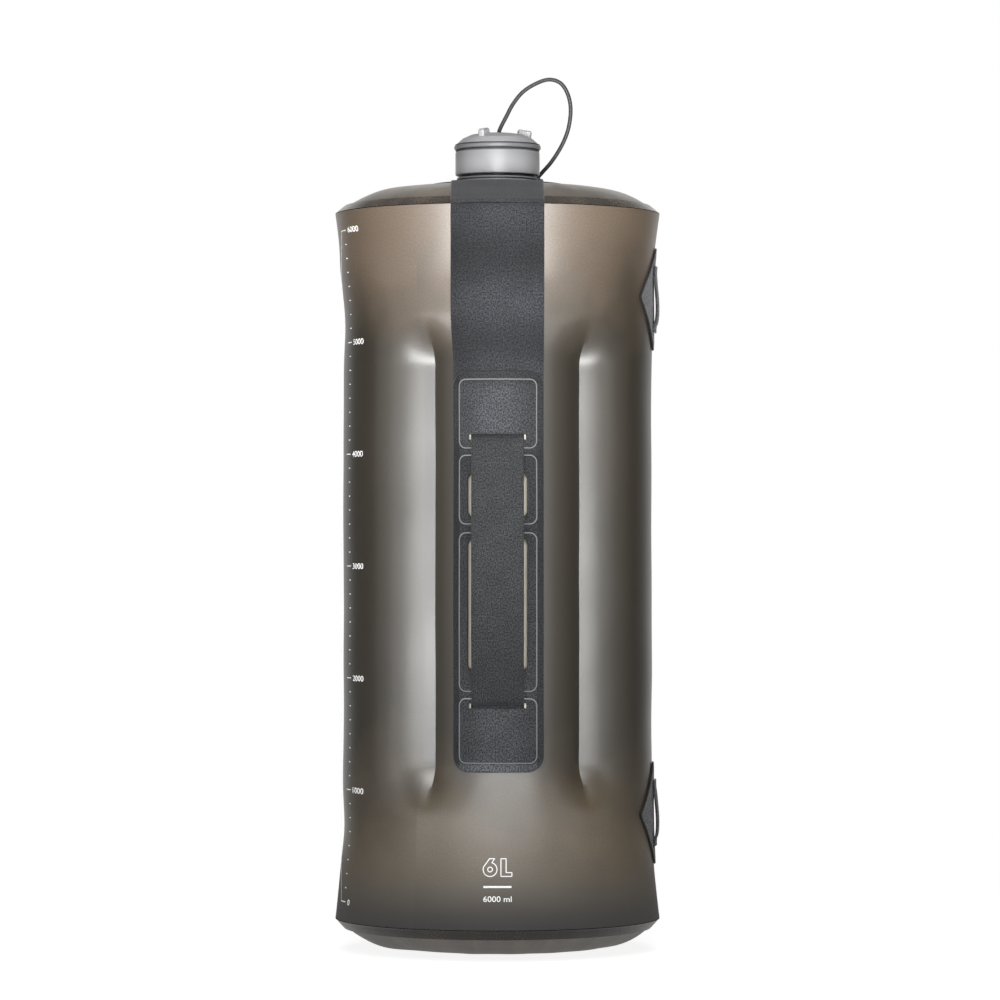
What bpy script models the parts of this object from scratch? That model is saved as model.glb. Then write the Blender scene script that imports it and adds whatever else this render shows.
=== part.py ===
"""Collapsible water carrier: film bag with baffles, carry strap, lash points and a tethered screw cap.

Metres, +Z up. The origin is on the floor under the middle of the base.
The strap and its handle face -Y, and the side lash points face +X.
An azimuth is counted from -Y towards +X.
"""
import math

import bmesh
import bpy
from mathutils import Vector

MM = 0.001

# Fits
CLEARANCE = 0.3 * MM
OVERRUN = 2.0 * MM

# Films and webbing
FILM = 0.6 * MM
WEBBING = 0.9 * MM
LASH_FABRIC = 0.8 * MM

# Wall sheet
WAIST_RADIUS = 77.0 * MM
RIM_FLARE = 4.0 * MM
WALL_HEIGHT = 351.4 * MM
TOP_FLARE_HEIGHT = 36.0 * MM
TOP_FLARE_POWER = 1.2
BOTTOM_FLARE_HEIGHT = 62.0 * MM
BOTTOM_FLARE_POWER = 2.0

# Creases, where the baffles are welded to the wall, a little to the right of the middle
BAFFLE_OFFSET = 35.05 * MM
BAFFLE_SHIFT = 4.85 * MM
BAFFLE_BOTTOM_RISE = 79.5 * MM
BAFFLE_HEIGHT = 194.0 * MM
BAFFLE_FILM = 0.8 * MM
CREASE_DEPTH = 10.0 * MM
CREASE_REACH = 35.0 * MM
CREASE_RUNOUT = 26.0 * MM
BAFFLE_HOLES = 3
BAFFLE_HOLE_WIDTH = 52.0 * MM
BAFFLE_HOLE_HEIGHT = 42.0 * MM

# End panels and the weld bands round their edges
PANEL_INSET = 1.4 * MM
TOP_DOME_HEIGHT = 13.4 * MM
TOP_DOME_POWER = 5.5
BOTTOM_DOME_HEIGHT = 14.4 * MM
BOTTOM_DOME_POWER = 7.0
BAND_WIDTH = 3.7 * MM

# Strap with its yoke round the neck
STRAP_WIDTH = 45.3 * MM
YOKE_RADIUS = 34.3 * MM
RIM_BEND = 2.4 * MM

# Handle plate on the strap: places are counted from the plate's middle
PLATE_HEIGHT = 194.2 * MM
PLATE_RISE = 173.5 * MM
PLATE_THICKNESS = 1.0 * MM
PLATE_CORNER = 8.2 * MM
PANEL_RELIEF = 0.35 * MM
PANEL_WIDTH = 38.1 * MM
PANEL_CORNER = 3.4 * MM
TOP_PANEL_SPAN = (59.6 * MM, 92.8 * MM)
SHORT_PANEL_SPAN = (22.9 * MM, 56.1 * MM)
LONG_PANEL_SPAN = (-57.9 * MM, 18.6 * MM)
END_PANEL_SPAN = (-92.6 * MM, -61.5 * MM)
WINDOW_WIDTH = 29.6 * MM
WINDOW_CORNER = 2.5 * MM
SHORT_WINDOW_SPAN = (26.2 * MM, 46.9 * MM)
LONG_WINDOW_SPAN = (-48.0 * MM, 15.4 * MM)
SLOT_WIDTH = 28.0 * MM
SLOT_HEIGHT = 3.0 * MM
UPPER_SLOT_EDGE = 63.4 * MM
LOWER_SLOT_EDGE = -63.4 * MM

# Hand strap
HAND_STRAP_WIDTH = 25.6 * MM
HAND_STRAP_THICKNESS = 1.0 * MM
HAND_STRAP_ARCH = 7.5 * MM
HAND_STRAP_FOLD = 0.95 * MM

# Lash points
LASH_HALF_DIAGONAL = 25.5 * MM
LASH_CORNER = 2.5 * MM
LASH_LOOP_WIDTH = 13.0 * MM
LASH_LOOP_LENGTH = 33.0 * MM
LASH_LOOP_FOOT = 3.5 * MM
LASH_LOOP_BULGE = 1.5 * MM
LASH_LOOP_POWER = 0.8
BASE_LOOP_WIDTH = 20.0 * MM
UPPER_LASH_RISE = 308.4 * MM
LOWER_LASH_RISE = 52.9 * MM

# Seam at the rear
SEAM_WIDTH = 12.0 * MM

# Neck
NECK_BORE_RADIUS = 15.5 * MM
NECK_RADIUS = 18.0 * MM
NECK_RISE = 11.8 * MM
NECK_CHAMFER = 0.5 * MM
FLANGE_RADIUS = 27.0 * MM
FLANGE_THICKNESS = 2.0 * MM
COLLAR_RADIUS = 19.4 * MM
COLLAR_HEIGHT = 0.5 * MM

# Two-start thread
THREAD_STARTS = 2
THREAD_LEAD = 9.0 * MM
THREAD_DEPTH = 1.2 * MM
THREAD_ROOT_WIDTH = 1.9 * MM
THREAD_CREST_WIDTH = 1.1 * MM
THREAD_SINK = 0.4 * MM
NECK_THREAD_RISE = 2.2 * MM
NECK_THREAD_DEGREES = (0.0, 285.0)
CAP_THREAD_DEGREES = (-60.0, 190.0)

# Tether ring, button and cord
RING_RADIUS = 20.0 * MM
RING_HEIGHT = 3.3 * MM
EAR_RADIUS = 2.2 * MM
EAR_HEIGHT = 3.7 * MM
EAR_PLACE = (20.6 * MM, 12.4 * MM)
EAR_WEB_WIDTH = 3.4 * MM
BUTTON_RADIUS = 5.0 * MM
BUTTON_STEM_RADIUS = 2.6 * MM
BUTTON_RECESS = 0.5 * MM
CORD_DIAMETER = 2.0 * MM

# Cap
CAP_RADIUS = 21.05 * MM
CAP_SKIRT_HEIGHT = 11.9 * MM
CAP_THREAD_GAP = 0.4 * MM
CAP_SEAT_RADIUS = 18.6 * MM
CAP_SEAT_RISE = 10.6 * MM
CAP_SHOULDER_RADIUS = 20.2 * MM
CAP_TOP_THICKNESS = 2.05 * MM
CAP_EDGE = 0.4 * MM
GASKET_THICKNESS = 0.8 * MM
GASKET_RADIUS = 18.2 * MM
GASKET_BORE_RADIUS = 14.6 * MM
CAP_BAND_RADIUS = 21.65 * MM
CAP_BAND_HEIGHT = 2.0 * MM
CAP_BAND_EDGE = 0.35 * MM
CAP_DOME_RADIUS = 20.8 * MM
CAP_DOME_HEIGHT = 5.9 * MM
CAP_DOME_POWER = 4.4
CAP_DOME_WALL = 1.4 * MM
LUGS = 3
LUG_LENGTH = 7.2 * MM
LUG_WIDTH = 3.2 * MM
LUG_HEIGHT = 4.6 * MM
LUG_RADIUS = 13.4 * MM
LUG_PROUD = 1.7 * MM
LUG_TILT_DEGREES = 9.0
LUG_EDGE = 0.8 * MM

# Counts of facets, and the thread's ends
WALL_LOBE_STEPS = (8, 14)
WALL_ZONE_STEPS = (4, 4, 2, 4, 4)
PANEL_SEGMENTS = 44
NECK_SEGMENTS = 40
BUTTON_SEGMENTS = 24
PANEL_STEPS = 6
CAP_DOME_STEPS = 5
THREAD_STEP_DEGREES = 15.0
THREAD_TAPER_STEPS = 2
THREAD_END_SHARE = 0.15
CORNER_STEPS = 4
SMALL_CORNER_STEPS = 3
STRAP_COLUMNS = 8
YOKE_ROUND_STEPS = 28
YOKE_TOP_STEPS = 10
YOKE_CLIMB_STEPS = 3
YOKE_BEND_STEPS = 4
YOKE_HOLE_SEGMENTS = 32
HAND_STRAP_STEPS = 14
HAND_STRAP_COLUMNS = 4
LASH_STEPS = 8
LASH_ROWS = 4
EAR_SEGMENTS = 16
CORD_STEPS = 2

# Heights that follow from the stack of pieces
BASE_STACK = LASH_FABRIC + CLEARANCE + LASH_FABRIC + CLEARANCE
BOTTOM_RIM_Z = BASE_STACK + BOTTOM_DOME_HEIGHT
TOP_RIM_Z = BOTTOM_RIM_Z + WALL_HEIGHT
RIM_RADIUS = WAIST_RADIUS + RIM_FLARE
PANEL_RADIUS = RIM_RADIUS - PANEL_INSET
DOME_TOP_Z = TOP_RIM_Z + TOP_DOME_HEIGHT
YOKE_TOP_Z = DOME_TOP_Z + CLEARANCE + WEBBING
RING_Z = YOKE_TOP_Z + CLEARANCE
COLLAR_Z = RING_Z + RING_HEIGHT + CLEARANCE
COLLAR_TOP_Z = COLLAR_Z + COLLAR_HEIGHT
NECK_TOP_Z = COLLAR_TOP_Z + NECK_RISE
CAP_Z = COLLAR_TOP_Z + CLEARANCE
CAP_ROOT_RADIUS = NECK_RADIUS + THREAD_DEPTH + CAP_THREAD_GAP
GASKET_Z = NECK_TOP_Z + CLEARANCE
CAP_CEILING_Z = GASKET_Z + GASKET_THICKNESS + CLEARANCE
CAP_TOP_Z = CAP_CEILING_Z + CAP_TOP_THICKNESS
CAP_DOME_Z = CAP_TOP_Z + CLEARANCE
CAP_DOME_TOP_Z = CAP_DOME_Z + CAP_DOME_HEIGHT
BUTTON_TOP_Z = CAP_DOME_TOP_Z - BUTTON_RECESS
BAFFLE_Z = BOTTOM_RIM_Z + BAFFLE_BOTTOM_RISE
BAFFLE_TOP_Z = BAFFLE_Z + BAFFLE_HEIGHT
PLATE_Z = BOTTOM_RIM_Z + PLATE_RISE
STRAP_LIFT = CLEARANCE
PLATE_LIFT = STRAP_LIFT + WEBBING + CLEARANCE
PLATE_FACE = PLATE_LIFT + PLATE_THICKNESS + PANEL_RELIEF
FOLD_RADIUS = WAIST_RADIUS - CREASE_DEPTH
LEFT_BAFFLE_X = BAFFLE_SHIFT - BAFFLE_OFFSET
RIGHT_BAFFLE_X = BAFFLE_SHIFT + BAFFLE_OFFSET
LEFT_FOLD = math.asin(LEFT_BAFFLE_X / FOLD_RADIUS)
RIGHT_FOLD = math.asin(RIGHT_BAFFLE_X / FOLD_RADIUS)
FOLDS = (LEFT_FOLD, RIGHT_FOLD, math.pi - RIGHT_FOLD, math.pi - LEFT_FOLD)
SIDE_AZIMUTH = math.radians(84)


# Finishes

def srgb(red, green, blue):
    """Linear colour of an 8-bit screen colour."""
    levels = [value / 255 for value in (red, green, blue)]
    linear = [level / 12.92 if level < 0.04 else ((level + 0.055) / 1.055) ** 2.4 for level in levels]
    return (*linear, 1.0)


def finish(name, colour, roughness, metallic=0.0):
    material = bpy.data.materials.new(name)
    material.use_nodes = True
    shader = material.node_tree.nodes["Principled BSDF"]
    shader.inputs["Base Color"].default_value = colour
    shader.inputs["Roughness"].default_value = roughness
    shader.inputs["Metallic"].default_value = metallic
    material.diffuse_color = colour
    return material


# Objects and solids

def clear_scene():
    for item in list(bpy.data.objects):
        bpy.data.objects.remove(item, do_unlink=True)


def add_object(name, build, material, smooth_degrees=40):
    """Turn a finished bmesh into an object whose faces point out."""
    bmesh.ops.recalc_face_normals(build, faces=build.faces)
    if build.calc_volume(signed=True) < 0:
        bmesh.ops.reverse_faces(build, faces=build.faces)
    mesh = bpy.data.meshes.new(name)
    build.to_mesh(mesh)
    build.free()
    mesh.materials.append(material)
    mesh.shade_smooth()
    mesh.set_sharp_from_angle(angle=math.radians(smooth_degrees))
    item = bpy.data.objects.new(name, mesh)
    bpy.context.scene.collection.objects.link(item)
    return item


def as_tool(item):
    item.hide_render = True
    item.display_type = "WIRE"
    return item


def combine(item, tool, operation):
    """Cut or join with a hidden tool object by a Boolean that stays on the item."""
    step = item.modifiers.new(f"{operation.lower()}_{tool.name}", "BOOLEAN")
    step.operation = operation
    step.solver = "EXACT"
    step.object = as_tool(tool)
    return item


def turned_build(profile, segments):
    """Ring solid of a closed (radius, height) profile turned round Z."""
    build = bmesh.new()
    rings = []
    for radius, height in profile:
        if radius == 0:
            rings.append([build.verts.new((0, 0, height))] * segments)
            continue
        angles = [math.tau * index / segments for index in range(segments)]
        rings.append([build.verts.new((radius * math.cos(a), radius * math.sin(a), height)) for a in angles])
    for low, high in zip(rings, rings[1:] + rings[:1]):
        for index in range(segments):
            after = (index + 1) % segments
            corners = [low[index], low[after], high[after], high[index]]
            corners = list(dict.fromkeys(corners))
            if len(corners) > 2:
                build.faces.new(corners)
    return build


def turned(name, profile, segments, material):
    return add_object(name, turned_build(profile, segments), material)


def prism(loop, low, high):
    """Closed prism of a (u, v) loop between two levels of w."""
    build = bmesh.new()
    below = [build.verts.new((u, v, low)) for u, v in loop]
    above = [build.verts.new((u, v, high)) for u, v in loop]
    build.faces.new(below)
    build.faces.new(above)
    for index in range(len(loop)):
        after = (index + 1) % len(loop)
        build.faces.new([below[index], below[after], above[after], above[index]])
    return build


def arc(centre, radius, start, end, steps):
    """Points on an arc, its angles in radians from +u."""
    angles = [start + (end - start) * step / steps for step in range(steps + 1)]
    return [(centre[0] + radius * math.cos(a), centre[1] + radius * math.sin(a)) for a in angles]


def round_loop(centre, radius, segments):
    last = math.tau * (segments - 1) / segments
    return arc(centre, radius, 0, last, segments - 1)


def rounded_loop(width, span, corner, steps=CORNER_STEPS):
    """Rectangle of a width about u = 0 and a span of v, with round corners."""
    right = width / 2 - corner
    low = span[0] + corner
    high = span[1] - corner
    quarter = math.pi / 2
    loop = arc((right, high), corner, 0, quarter, steps)
    loop += arc((-right, high), corner, quarter, 2 * quarter, steps)
    loop += arc((-right, low), corner, 2 * quarter, 3 * quarter, steps)
    loop += arc((right, low), corner, 3 * quarter, 4 * quarter, steps)
    return loop


def diamond_loop(half_diagonal, corner, steps=SMALL_CORNER_STEPS):
    """Square on its corner with rounded tips."""
    reach = half_diagonal - corner
    loop = []
    for turn in range(4):
        angle = turn * math.pi / 2
        centre = (reach * math.cos(angle), reach * math.sin(angle))
        loop += arc(centre, corner, angle - math.pi / 4, angle + math.pi / 4, steps)
    return loop


def evaluated(item):
    """The mesh of an item with its modifiers applied; the item goes."""
    graph = bpy.context.evaluated_depsgraph_get()
    mesh = bpy.data.meshes.new_from_object(item.evaluated_get(graph))
    build = bmesh.new()
    build.from_mesh(mesh)
    bpy.data.objects.remove(item, do_unlink=True)
    bpy.data.meshes.remove(mesh)
    return build


def flat_sheet(name, loop, thickness, material, holes=(), pads=(), relief=0.0):
    """Flat sheet with raised pads and through holes, as a bmesh still to be bent."""
    item = add_object(name, prism(loop, 0, thickness), material)
    tools = []
    for number, pad in enumerate(pads):
        solid = prism(pad, thickness / 2, thickness + relief)
        tools.append(add_object(f"{name}_pad_{number}", solid, material))
        combine(item, tools[-1], "UNION")
    for number, hole in enumerate(holes):
        solid = prism(hole, -OVERRUN, thickness + relief + OVERRUN)
        tools.append(add_object(f"{name}_hole_{number}", solid, material))
        combine(item, tools[-1], "DIFFERENCE")
    bpy.context.view_layer.update()
    build = evaluated(item)
    for tool in tools:
        bpy.data.objects.remove(tool, do_unlink=True)
    return build


def score(build, places, direction):
    """Cut edges across a flat sheet at these places, so that it can bend there."""
    for place in places:
        everything = build.verts[:] + build.edges[:] + build.faces[:]
        bmesh.ops.bisect_plane(build, geom=everything, plane_co=direction * place, plane_no=direction)


def even_places(low, high, count):
    """Inner places that split a span into equal shares."""
    return [low + (high - low) * step / count for step in range(1, count)]


def bent_sheet(name, build, place, material, columns=(), rows=()):
    score(build, columns, Vector((1, 0, 0)))
    score(build, rows, Vector((0, 1, 0)))
    bmesh.ops.triangulate(build, faces=build.faces)
    for vert in build.verts:
        vert.co = place(*vert.co)
    return add_object(name, build, material)


def bent_strip(name, path, widths, thickness, place, material):
    """Strip along a path of (v, w) with a thickness across it, at these places of u."""
    build = bmesh.new()
    sections = []
    for index, (v, w) in enumerate(path):
        before = Vector(path[max(index - 1, 0)])
        after = Vector(path[min(index + 1, len(path) - 1)])
        along = (after - before).normalized()
        side = Vector((-along.y, along.x)) * thickness / 2
        low = [build.verts.new(place(u, v - side.x, w - side.y)) for u in widths]
        high = [build.verts.new(place(u, v + side.x, w + side.y)) for u in reversed(widths)]
        sections.append(low + high)
    build.faces.new(sections[0])
    build.faces.new(sections[-1])
    for first, second in zip(sections, sections[1:]):
        for index in range(len(first)):
            after = (index + 1) % len(first)
            build.faces.new([first[index], first[after], second[after], second[index]])
    bmesh.ops.triangulate(build, faces=build.faces)
    return add_object(name, build, material)


# Surfaces that the pieces follow

def smooth_share(value):
    """0 below 0, 1 above 1, with a smooth rise between."""
    share = min(max(value, 0.0), 1.0)
    return share * share * (3 - 2 * share)


def flare(distance, reach, power):
    return RIM_FLARE * max(1 - distance / reach, 0.0) ** power


def wall_radius(z):
    """Outer radius of the wall away from its creases."""
    top = flare(max(TOP_RIM_Z - z, 0.0), TOP_FLARE_HEIGHT, TOP_FLARE_POWER)
    bottom = flare(max(z - BOTTOM_RIM_Z, 0.0), BOTTOM_FLARE_HEIGHT, BOTTOM_FLARE_POWER)
    return WAIST_RADIUS + top + bottom


def turn_between(first, second):
    return abs((first - second + math.pi) % math.tau - math.pi)


def crease_depth(azimuth, z):
    """How far the wall is drawn in by the nearest baffle weld."""
    distance = min(turn_between(azimuth, fold) for fold in FOLDS) * WAIST_RADIUS
    across = max(1 - distance / CREASE_REACH, 0.0) ** 2
    rise = smooth_share((z - BAFFLE_Z + CREASE_RUNOUT) / CREASE_RUNOUT)
    fall = smooth_share((BAFFLE_TOP_Z + CREASE_RUNOUT - z) / CREASE_RUNOUT)
    return CREASE_DEPTH * across * rise * fall


def skin(azimuth, z, lift):
    """Point at a lift from the wall's outer face."""
    radius = wall_radius(z) - crease_depth(azimuth, z) + lift
    return Vector((radius * math.sin(azimuth), -radius * math.cos(azimuth), z))


def on_wall(middle_azimuth, middle_z, lift):
    """A place function for sheets that lie on the wall about one azimuth."""
    def place(u, v, w):
        z = middle_z + v
        spread = math.asin(u / (wall_radius(z) + lift + w))
        return skin(middle_azimuth + spread, z, lift + w)
    return place


def dome_rise(radius, height, power):
    return height * (1 - (radius / PANEL_RADIUS) ** power)


def dome_point(radius, height, power, lift):
    """Point at a lift from an end panel's outer face, as (radius, rise over the rim)."""
    slope = height * power / PANEL_RADIUS * (radius / PANEL_RADIUS) ** (power - 1)
    length = math.hypot(slope, 1)
    return (radius + lift * slope / length, dome_rise(radius, height, power) + lift / length)


# Bag

def lobe_azimuths():
    """Azimuths of the wall's columns, with one on each baffle weld."""
    ends = FOLDS[1:] + (FOLDS[0] + math.tau,)
    azimuths = []
    for number, (start, end) in enumerate(zip(FOLDS, ends)):
        steps = WALL_LOBE_STEPS[number % 2]
        azimuths += [start + (end - start) * step / steps for step in range(steps)]
    return azimuths


def wall_heights():
    """Heights of the wall's rows, closer together where the wall curves."""
    low = BOTTOM_RIM_Z + CLEARANCE
    high = TOP_RIM_Z - CLEARANCE
    limits = [low, BAFFLE_Z - CREASE_RUNOUT, BAFFLE_Z, BAFFLE_TOP_Z, BAFFLE_TOP_Z + CREASE_RUNOUT, high]
    heights = [low]
    for start, end, steps in zip(limits, limits[1:], WALL_ZONE_STEPS):
        heights += [start + (end - start) * step / steps for step in range(1, steps + 1)]
    return heights


def make_wall_sheet(material):
    build = bmesh.new()
    azimuths = lobe_azimuths()
    heights = wall_heights()
    outer = [[build.verts.new(skin(a, z, 0)) for a in azimuths] for z in heights]
    inner = [[build.verts.new(skin(a, z, -FILM)) for a in azimuths] for z in heights]
    rings = outer + inner[::-1]
    for low, high in zip(rings, rings[1:] + rings[:1]):
        for index in range(len(azimuths)):
            after = (index + 1) % len(azimuths)
            build.faces.new([low[index], low[after], high[after], high[index]])
    return add_object("wall_sheet", build, material)


def make_baffle(name, fold, material):
    """Web from the front fold to the rear one, just short of the wall's inner face."""
    half = (FOLD_RADIUS - FILM) * math.cos(fold) - CLEARANCE
    outline = [(-half, BAFFLE_Z), (half, BAFFLE_Z), (half, BAFFLE_TOP_Z), (-half, BAFFLE_TOP_Z)]
    spacing = BAFFLE_HEIGHT / BAFFLE_HOLES
    holes = []
    for number in range(BAFFLE_HOLES):
        middle = BAFFLE_Z + spacing * (number + 0.5)
        span = (middle - BAFFLE_HOLE_HEIGHT / 2, middle + BAFFLE_HOLE_HEIGHT / 2)
        holes.append(rounded_loop(BAFFLE_HOLE_WIDTH, span, BAFFLE_HOLE_HEIGHT / 3))
    build = flat_sheet(name, outline, BAFFLE_FILM, material, holes)
    x = (FOLD_RADIUS - FILM) * math.sin(fold)

    def place(u, v, w):
        return Vector((x + w - BAFFLE_FILM / 2, u, v))
    return bent_sheet(name, build, place, material)


def panel_profile(height, power, hole_radius, up, rim_z):
    """Closed profile of a domed film, from its hole or its middle to its edge."""
    shares = [math.sin(math.pi / 2 * step / PANEL_STEPS) for step in range(PANEL_STEPS + 1)]
    radii = [hole_radius + (PANEL_RADIUS - hole_radius) * share for share in shares]
    outer = [dome_point(radius, height, power, 0) for radius in radii]
    inner = [dome_point(radius, height, power, -FILM) for radius in radii]
    return [(radius, rim_z + up * rise) for radius, rise in outer + inner[::-1]]


def band_profile(height, power, up, rim_z):
    """Closed profile of the weld band that laps the edge of an end panel."""
    start = PANEL_RADIUS - BAND_WIDTH
    radii = [start, (start + PANEL_RADIUS) / 2, PANEL_RADIUS]
    outer = [dome_point(radius, height, power, CLEARANCE + FILM) for radius in radii]
    inner = [dome_point(radius, height, power, CLEARANCE) for radius in radii]
    lip = [(RIM_RADIUS, 0), (RIM_RADIUS - FILM, 0)]
    return [(radius, rim_z + up * rise) for radius, rise in outer + lip + inner[::-1]]


def make_panels(film, weld):
    hole = NECK_RADIUS + CLEARANCE
    top = (TOP_DOME_HEIGHT, TOP_DOME_POWER)
    bottom = (BOTTOM_DOME_HEIGHT, BOTTOM_DOME_POWER)
    turned("top_panel", panel_profile(*top, hole, 1, TOP_RIM_Z), PANEL_SEGMENTS, film)
    turned("bottom_panel", panel_profile(*bottom, 0, -1, BOTTOM_RIM_Z), PANEL_SEGMENTS, film)
    turned("top_rim_band", band_profile(*top, 1, TOP_RIM_Z), PANEL_SEGMENTS, weld)
    turned("bottom_rim_band", band_profile(*bottom, -1, BOTTOM_RIM_Z), PANEL_SEGMENTS, weld)


def make_rear_seam(material):
    low = BOTTOM_RIM_Z + CLEARANCE
    high = TOP_RIM_Z - CLEARANCE
    half = SEAM_WIDTH / 2
    outline = [(-half, low), (half, low), (half, high), (-half, high)]
    build = flat_sheet("rear_seam_tape", outline, FILM, material)
    place = on_wall(math.pi, 0, CLEARANCE)
    bent_sheet("rear_seam_tape", build, place, material, (0,), wall_heights()[1:-1])


# Strap, handle and hand strap

def strap_columns():
    return even_places(-STRAP_WIDTH / 2, STRAP_WIDTH / 2, STRAP_COLUMNS)


def strap_rows():
    """The wall's own rows, counted from the middle of the handle plate."""
    return [z - PLATE_Z for z in wall_heights()[1:-1]]


def yoke_route():
    """Stations of the strap over the top, as (radius, height) from the neck's axis to the rim."""
    climb_end = PANEL_RADIUS - BAND_WIDTH - FILM
    climb_start = climb_end - 2 * BAND_WIDTH
    over_band = CLEARANCE + FILM + CLEARANCE
    radii = [0.0] + even_places(0, climb_start, YOKE_TOP_STEPS) + [climb_start]
    radii += even_places(climb_start, climb_end, YOKE_CLIMB_STEPS)
    radii += [climb_end, PANEL_RADIUS - RIM_BEND / 2]
    stations = []
    for radius in radii:
        climb = smooth_share((radius - climb_start) / (climb_end - climb_start))
        lift = CLEARANCE + (over_band - CLEARANCE) * climb
        reach, rise = dome_point(radius, TOP_DOME_HEIGHT, TOP_DOME_POWER, lift)
        stations.append(Vector((reach, TOP_RIM_Z + rise)))
    corner = Vector((RIM_RADIUS + CLEARANCE, TOP_RIM_Z + RIM_BEND / 2))
    end = Vector((RIM_RADIUS + CLEARANCE, TOP_RIM_Z))
    start = stations[-1]
    for step in range(1, YOKE_BEND_STEPS + 1):
        share = step / YOKE_BEND_STEPS
        stations.append(start * (1 - share) ** 2 + corner * 2 * share * (1 - share) + end * share ** 2)
    return stations


def yoke_place(stations):
    """A place function for the yoke: u across it, v along its route towards the rim."""
    lengths = [0.0]
    for first, second in zip(stations, stations[1:]):
        lengths.append(lengths[-1] + (second - first).length)

    def at(distance):
        index = 1
        while index < len(lengths) - 1 and distance > lengths[index]:
            index += 1
        share = (distance - lengths[index - 1]) / (lengths[index] - lengths[index - 1])
        point = stations[index - 1].lerp(stations[index], share)
        before = stations[max(index - 2, 0)].lerp(stations[index - 1], share)
        after = stations[index].lerp(stations[min(index + 1, len(stations) - 1)], share)
        along = (after - before).normalized()
        return point, Vector((-along.y, along.x))

    def place(u, v, w):
        spread = smooth_share((v - YOKE_RADIUS) / (YOKE_RADIUS / 2))
        point, normal = at(math.hypot(u, v)) if spread == 0 else at(v)
        if spread == 0:
            flat = point + normal * w
            scale = flat.x / math.hypot(u, v)
            return Vector((u * scale, -v * scale, flat.y))
        radius = point.x
        y = radius - (radius - math.sqrt(radius ** 2 - u ** 2)) * spread
        around = math.hypot(u, y)
        point, normal = at(v + around - radius)
        flat = point + normal * w
        return Vector((u * flat.x / around, -y * flat.x / around, flat.y))
    return place, lengths


def make_strap_yoke(material):
    stations = yoke_route()
    place, lengths = yoke_place(stations)
    half = STRAP_WIDTH / 2
    join = math.asin(half / YOKE_RADIUS)
    loop = arc((0, 0), YOKE_RADIUS, math.pi / 2 + join, math.pi * 5 / 2 - join, YOKE_ROUND_STEPS)
    loop += [(half, lengths[-1]), (-half, lengths[-1])]
    hole = round_loop((0, 0), NECK_RADIUS + CLEARANCE, YOKE_HOLE_SEGMENTS)
    build = flat_sheet("strap_yoke", loop, WEBBING, material, [hole])
    rows = [length for length in lengths if length > YOKE_RADIUS][:-1]
    bent_sheet("strap_yoke", build, place, material, strap_columns(), rows)


def plate_windows(margin):
    """Window loops, drawn in or out by a margin."""
    loops = []
    for low, high in (SHORT_WINDOW_SPAN, LONG_WINDOW_SPAN):
        span = (low - margin, high + margin)
        loops.append(rounded_loop(WINDOW_WIDTH + 2 * margin, span, WINDOW_CORNER, SMALL_CORNER_STEPS))
    return loops


def make_carry_strap(material):
    half = STRAP_WIDTH / 2
    top = TOP_RIM_Z - CLEARANCE - PLATE_Z
    low = CLEARANCE - PLATE_HEIGHT / 2
    corner = PLATE_CORNER
    loop = [(half, top), (-half, top)]
    loop += arc((corner - half, low + corner), corner, math.pi, math.pi * 3 / 2, CORNER_STEPS)
    loop += arc((half - corner, low + corner), corner, math.pi * 3 / 2, math.tau, CORNER_STEPS)
    build = flat_sheet("carry_strap", loop, WEBBING, material, plate_windows(CLEARANCE))
    place = on_wall(0, PLATE_Z, STRAP_LIFT)
    bent_sheet("carry_strap", build, place, material, strap_columns(), strap_rows())


def slot_span(edge, side):
    return tuple(sorted((edge, edge + side * SLOT_HEIGHT)))


def make_handle_plate(material):
    span = (-PLATE_HEIGHT / 2, PLATE_HEIGHT / 2)
    loop = rounded_loop(STRAP_WIDTH, span, PLATE_CORNER)
    pads = []
    for pad in (TOP_PANEL_SPAN, SHORT_PANEL_SPAN, LONG_PANEL_SPAN, END_PANEL_SPAN):
        pads.append(rounded_loop(PANEL_WIDTH, pad, PANEL_CORNER, SMALL_CORNER_STEPS))
    holes = plate_windows(0)
    for edge, side in ((UPPER_SLOT_EDGE, 1), (LOWER_SLOT_EDGE, -1)):
        holes.append(rounded_loop(SLOT_WIDTH, slot_span(edge, side), SLOT_HEIGHT / 3, 2))
    build = flat_sheet("handle_plate", loop, PLATE_THICKNESS, material, holes, pads, PANEL_RELIEF)
    place = on_wall(0, PLATE_Z, PLATE_LIFT)
    bent_sheet("handle_plate", build, place, material, strap_columns(), strap_rows())


def hand_strap_route():
    """Centre line of the hand strap as (v, lift), from the lower slot to the upper one."""
    half = HAND_STRAP_THICKNESS / 2
    inset = CLEARANCE + half
    low_face = PLATE_FACE + CLEARANCE + half
    fold = HAND_STRAP_FOLD
    low = LOWER_SLOT_EDGE - inset
    high = UPPER_SLOT_EDGE + inset
    root = [(low, PLATE_LIFT), (low, low_face - fold)]
    bend = [(low + fold - c, low_face - fold + s) for c, s in arc((0, 0), fold, math.pi / 6, math.pi / 2, 2)]
    arch = []
    for step in range(1, HAND_STRAP_STEPS):
        share = step / HAND_STRAP_STEPS
        v = low + fold + (high - low - 2 * fold) * share
        arch.append((v, low_face + HAND_STRAP_ARCH * math.sin(math.pi * share)))
    first = root + bend
    last = [(low + high - v, w) for v, w in first[::-1]]
    return first + arch + last


def make_hand_strap(material):
    half = HAND_STRAP_WIDTH / 2
    widths = [-half] + even_places(-half, half, HAND_STRAP_COLUMNS) + [half]
    place = on_wall(0, PLATE_Z, 0)
    route = hand_strap_route()
    bent_strip("hand_strap", route, widths, HAND_STRAP_THICKNESS, place, material)


# Lash points

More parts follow.
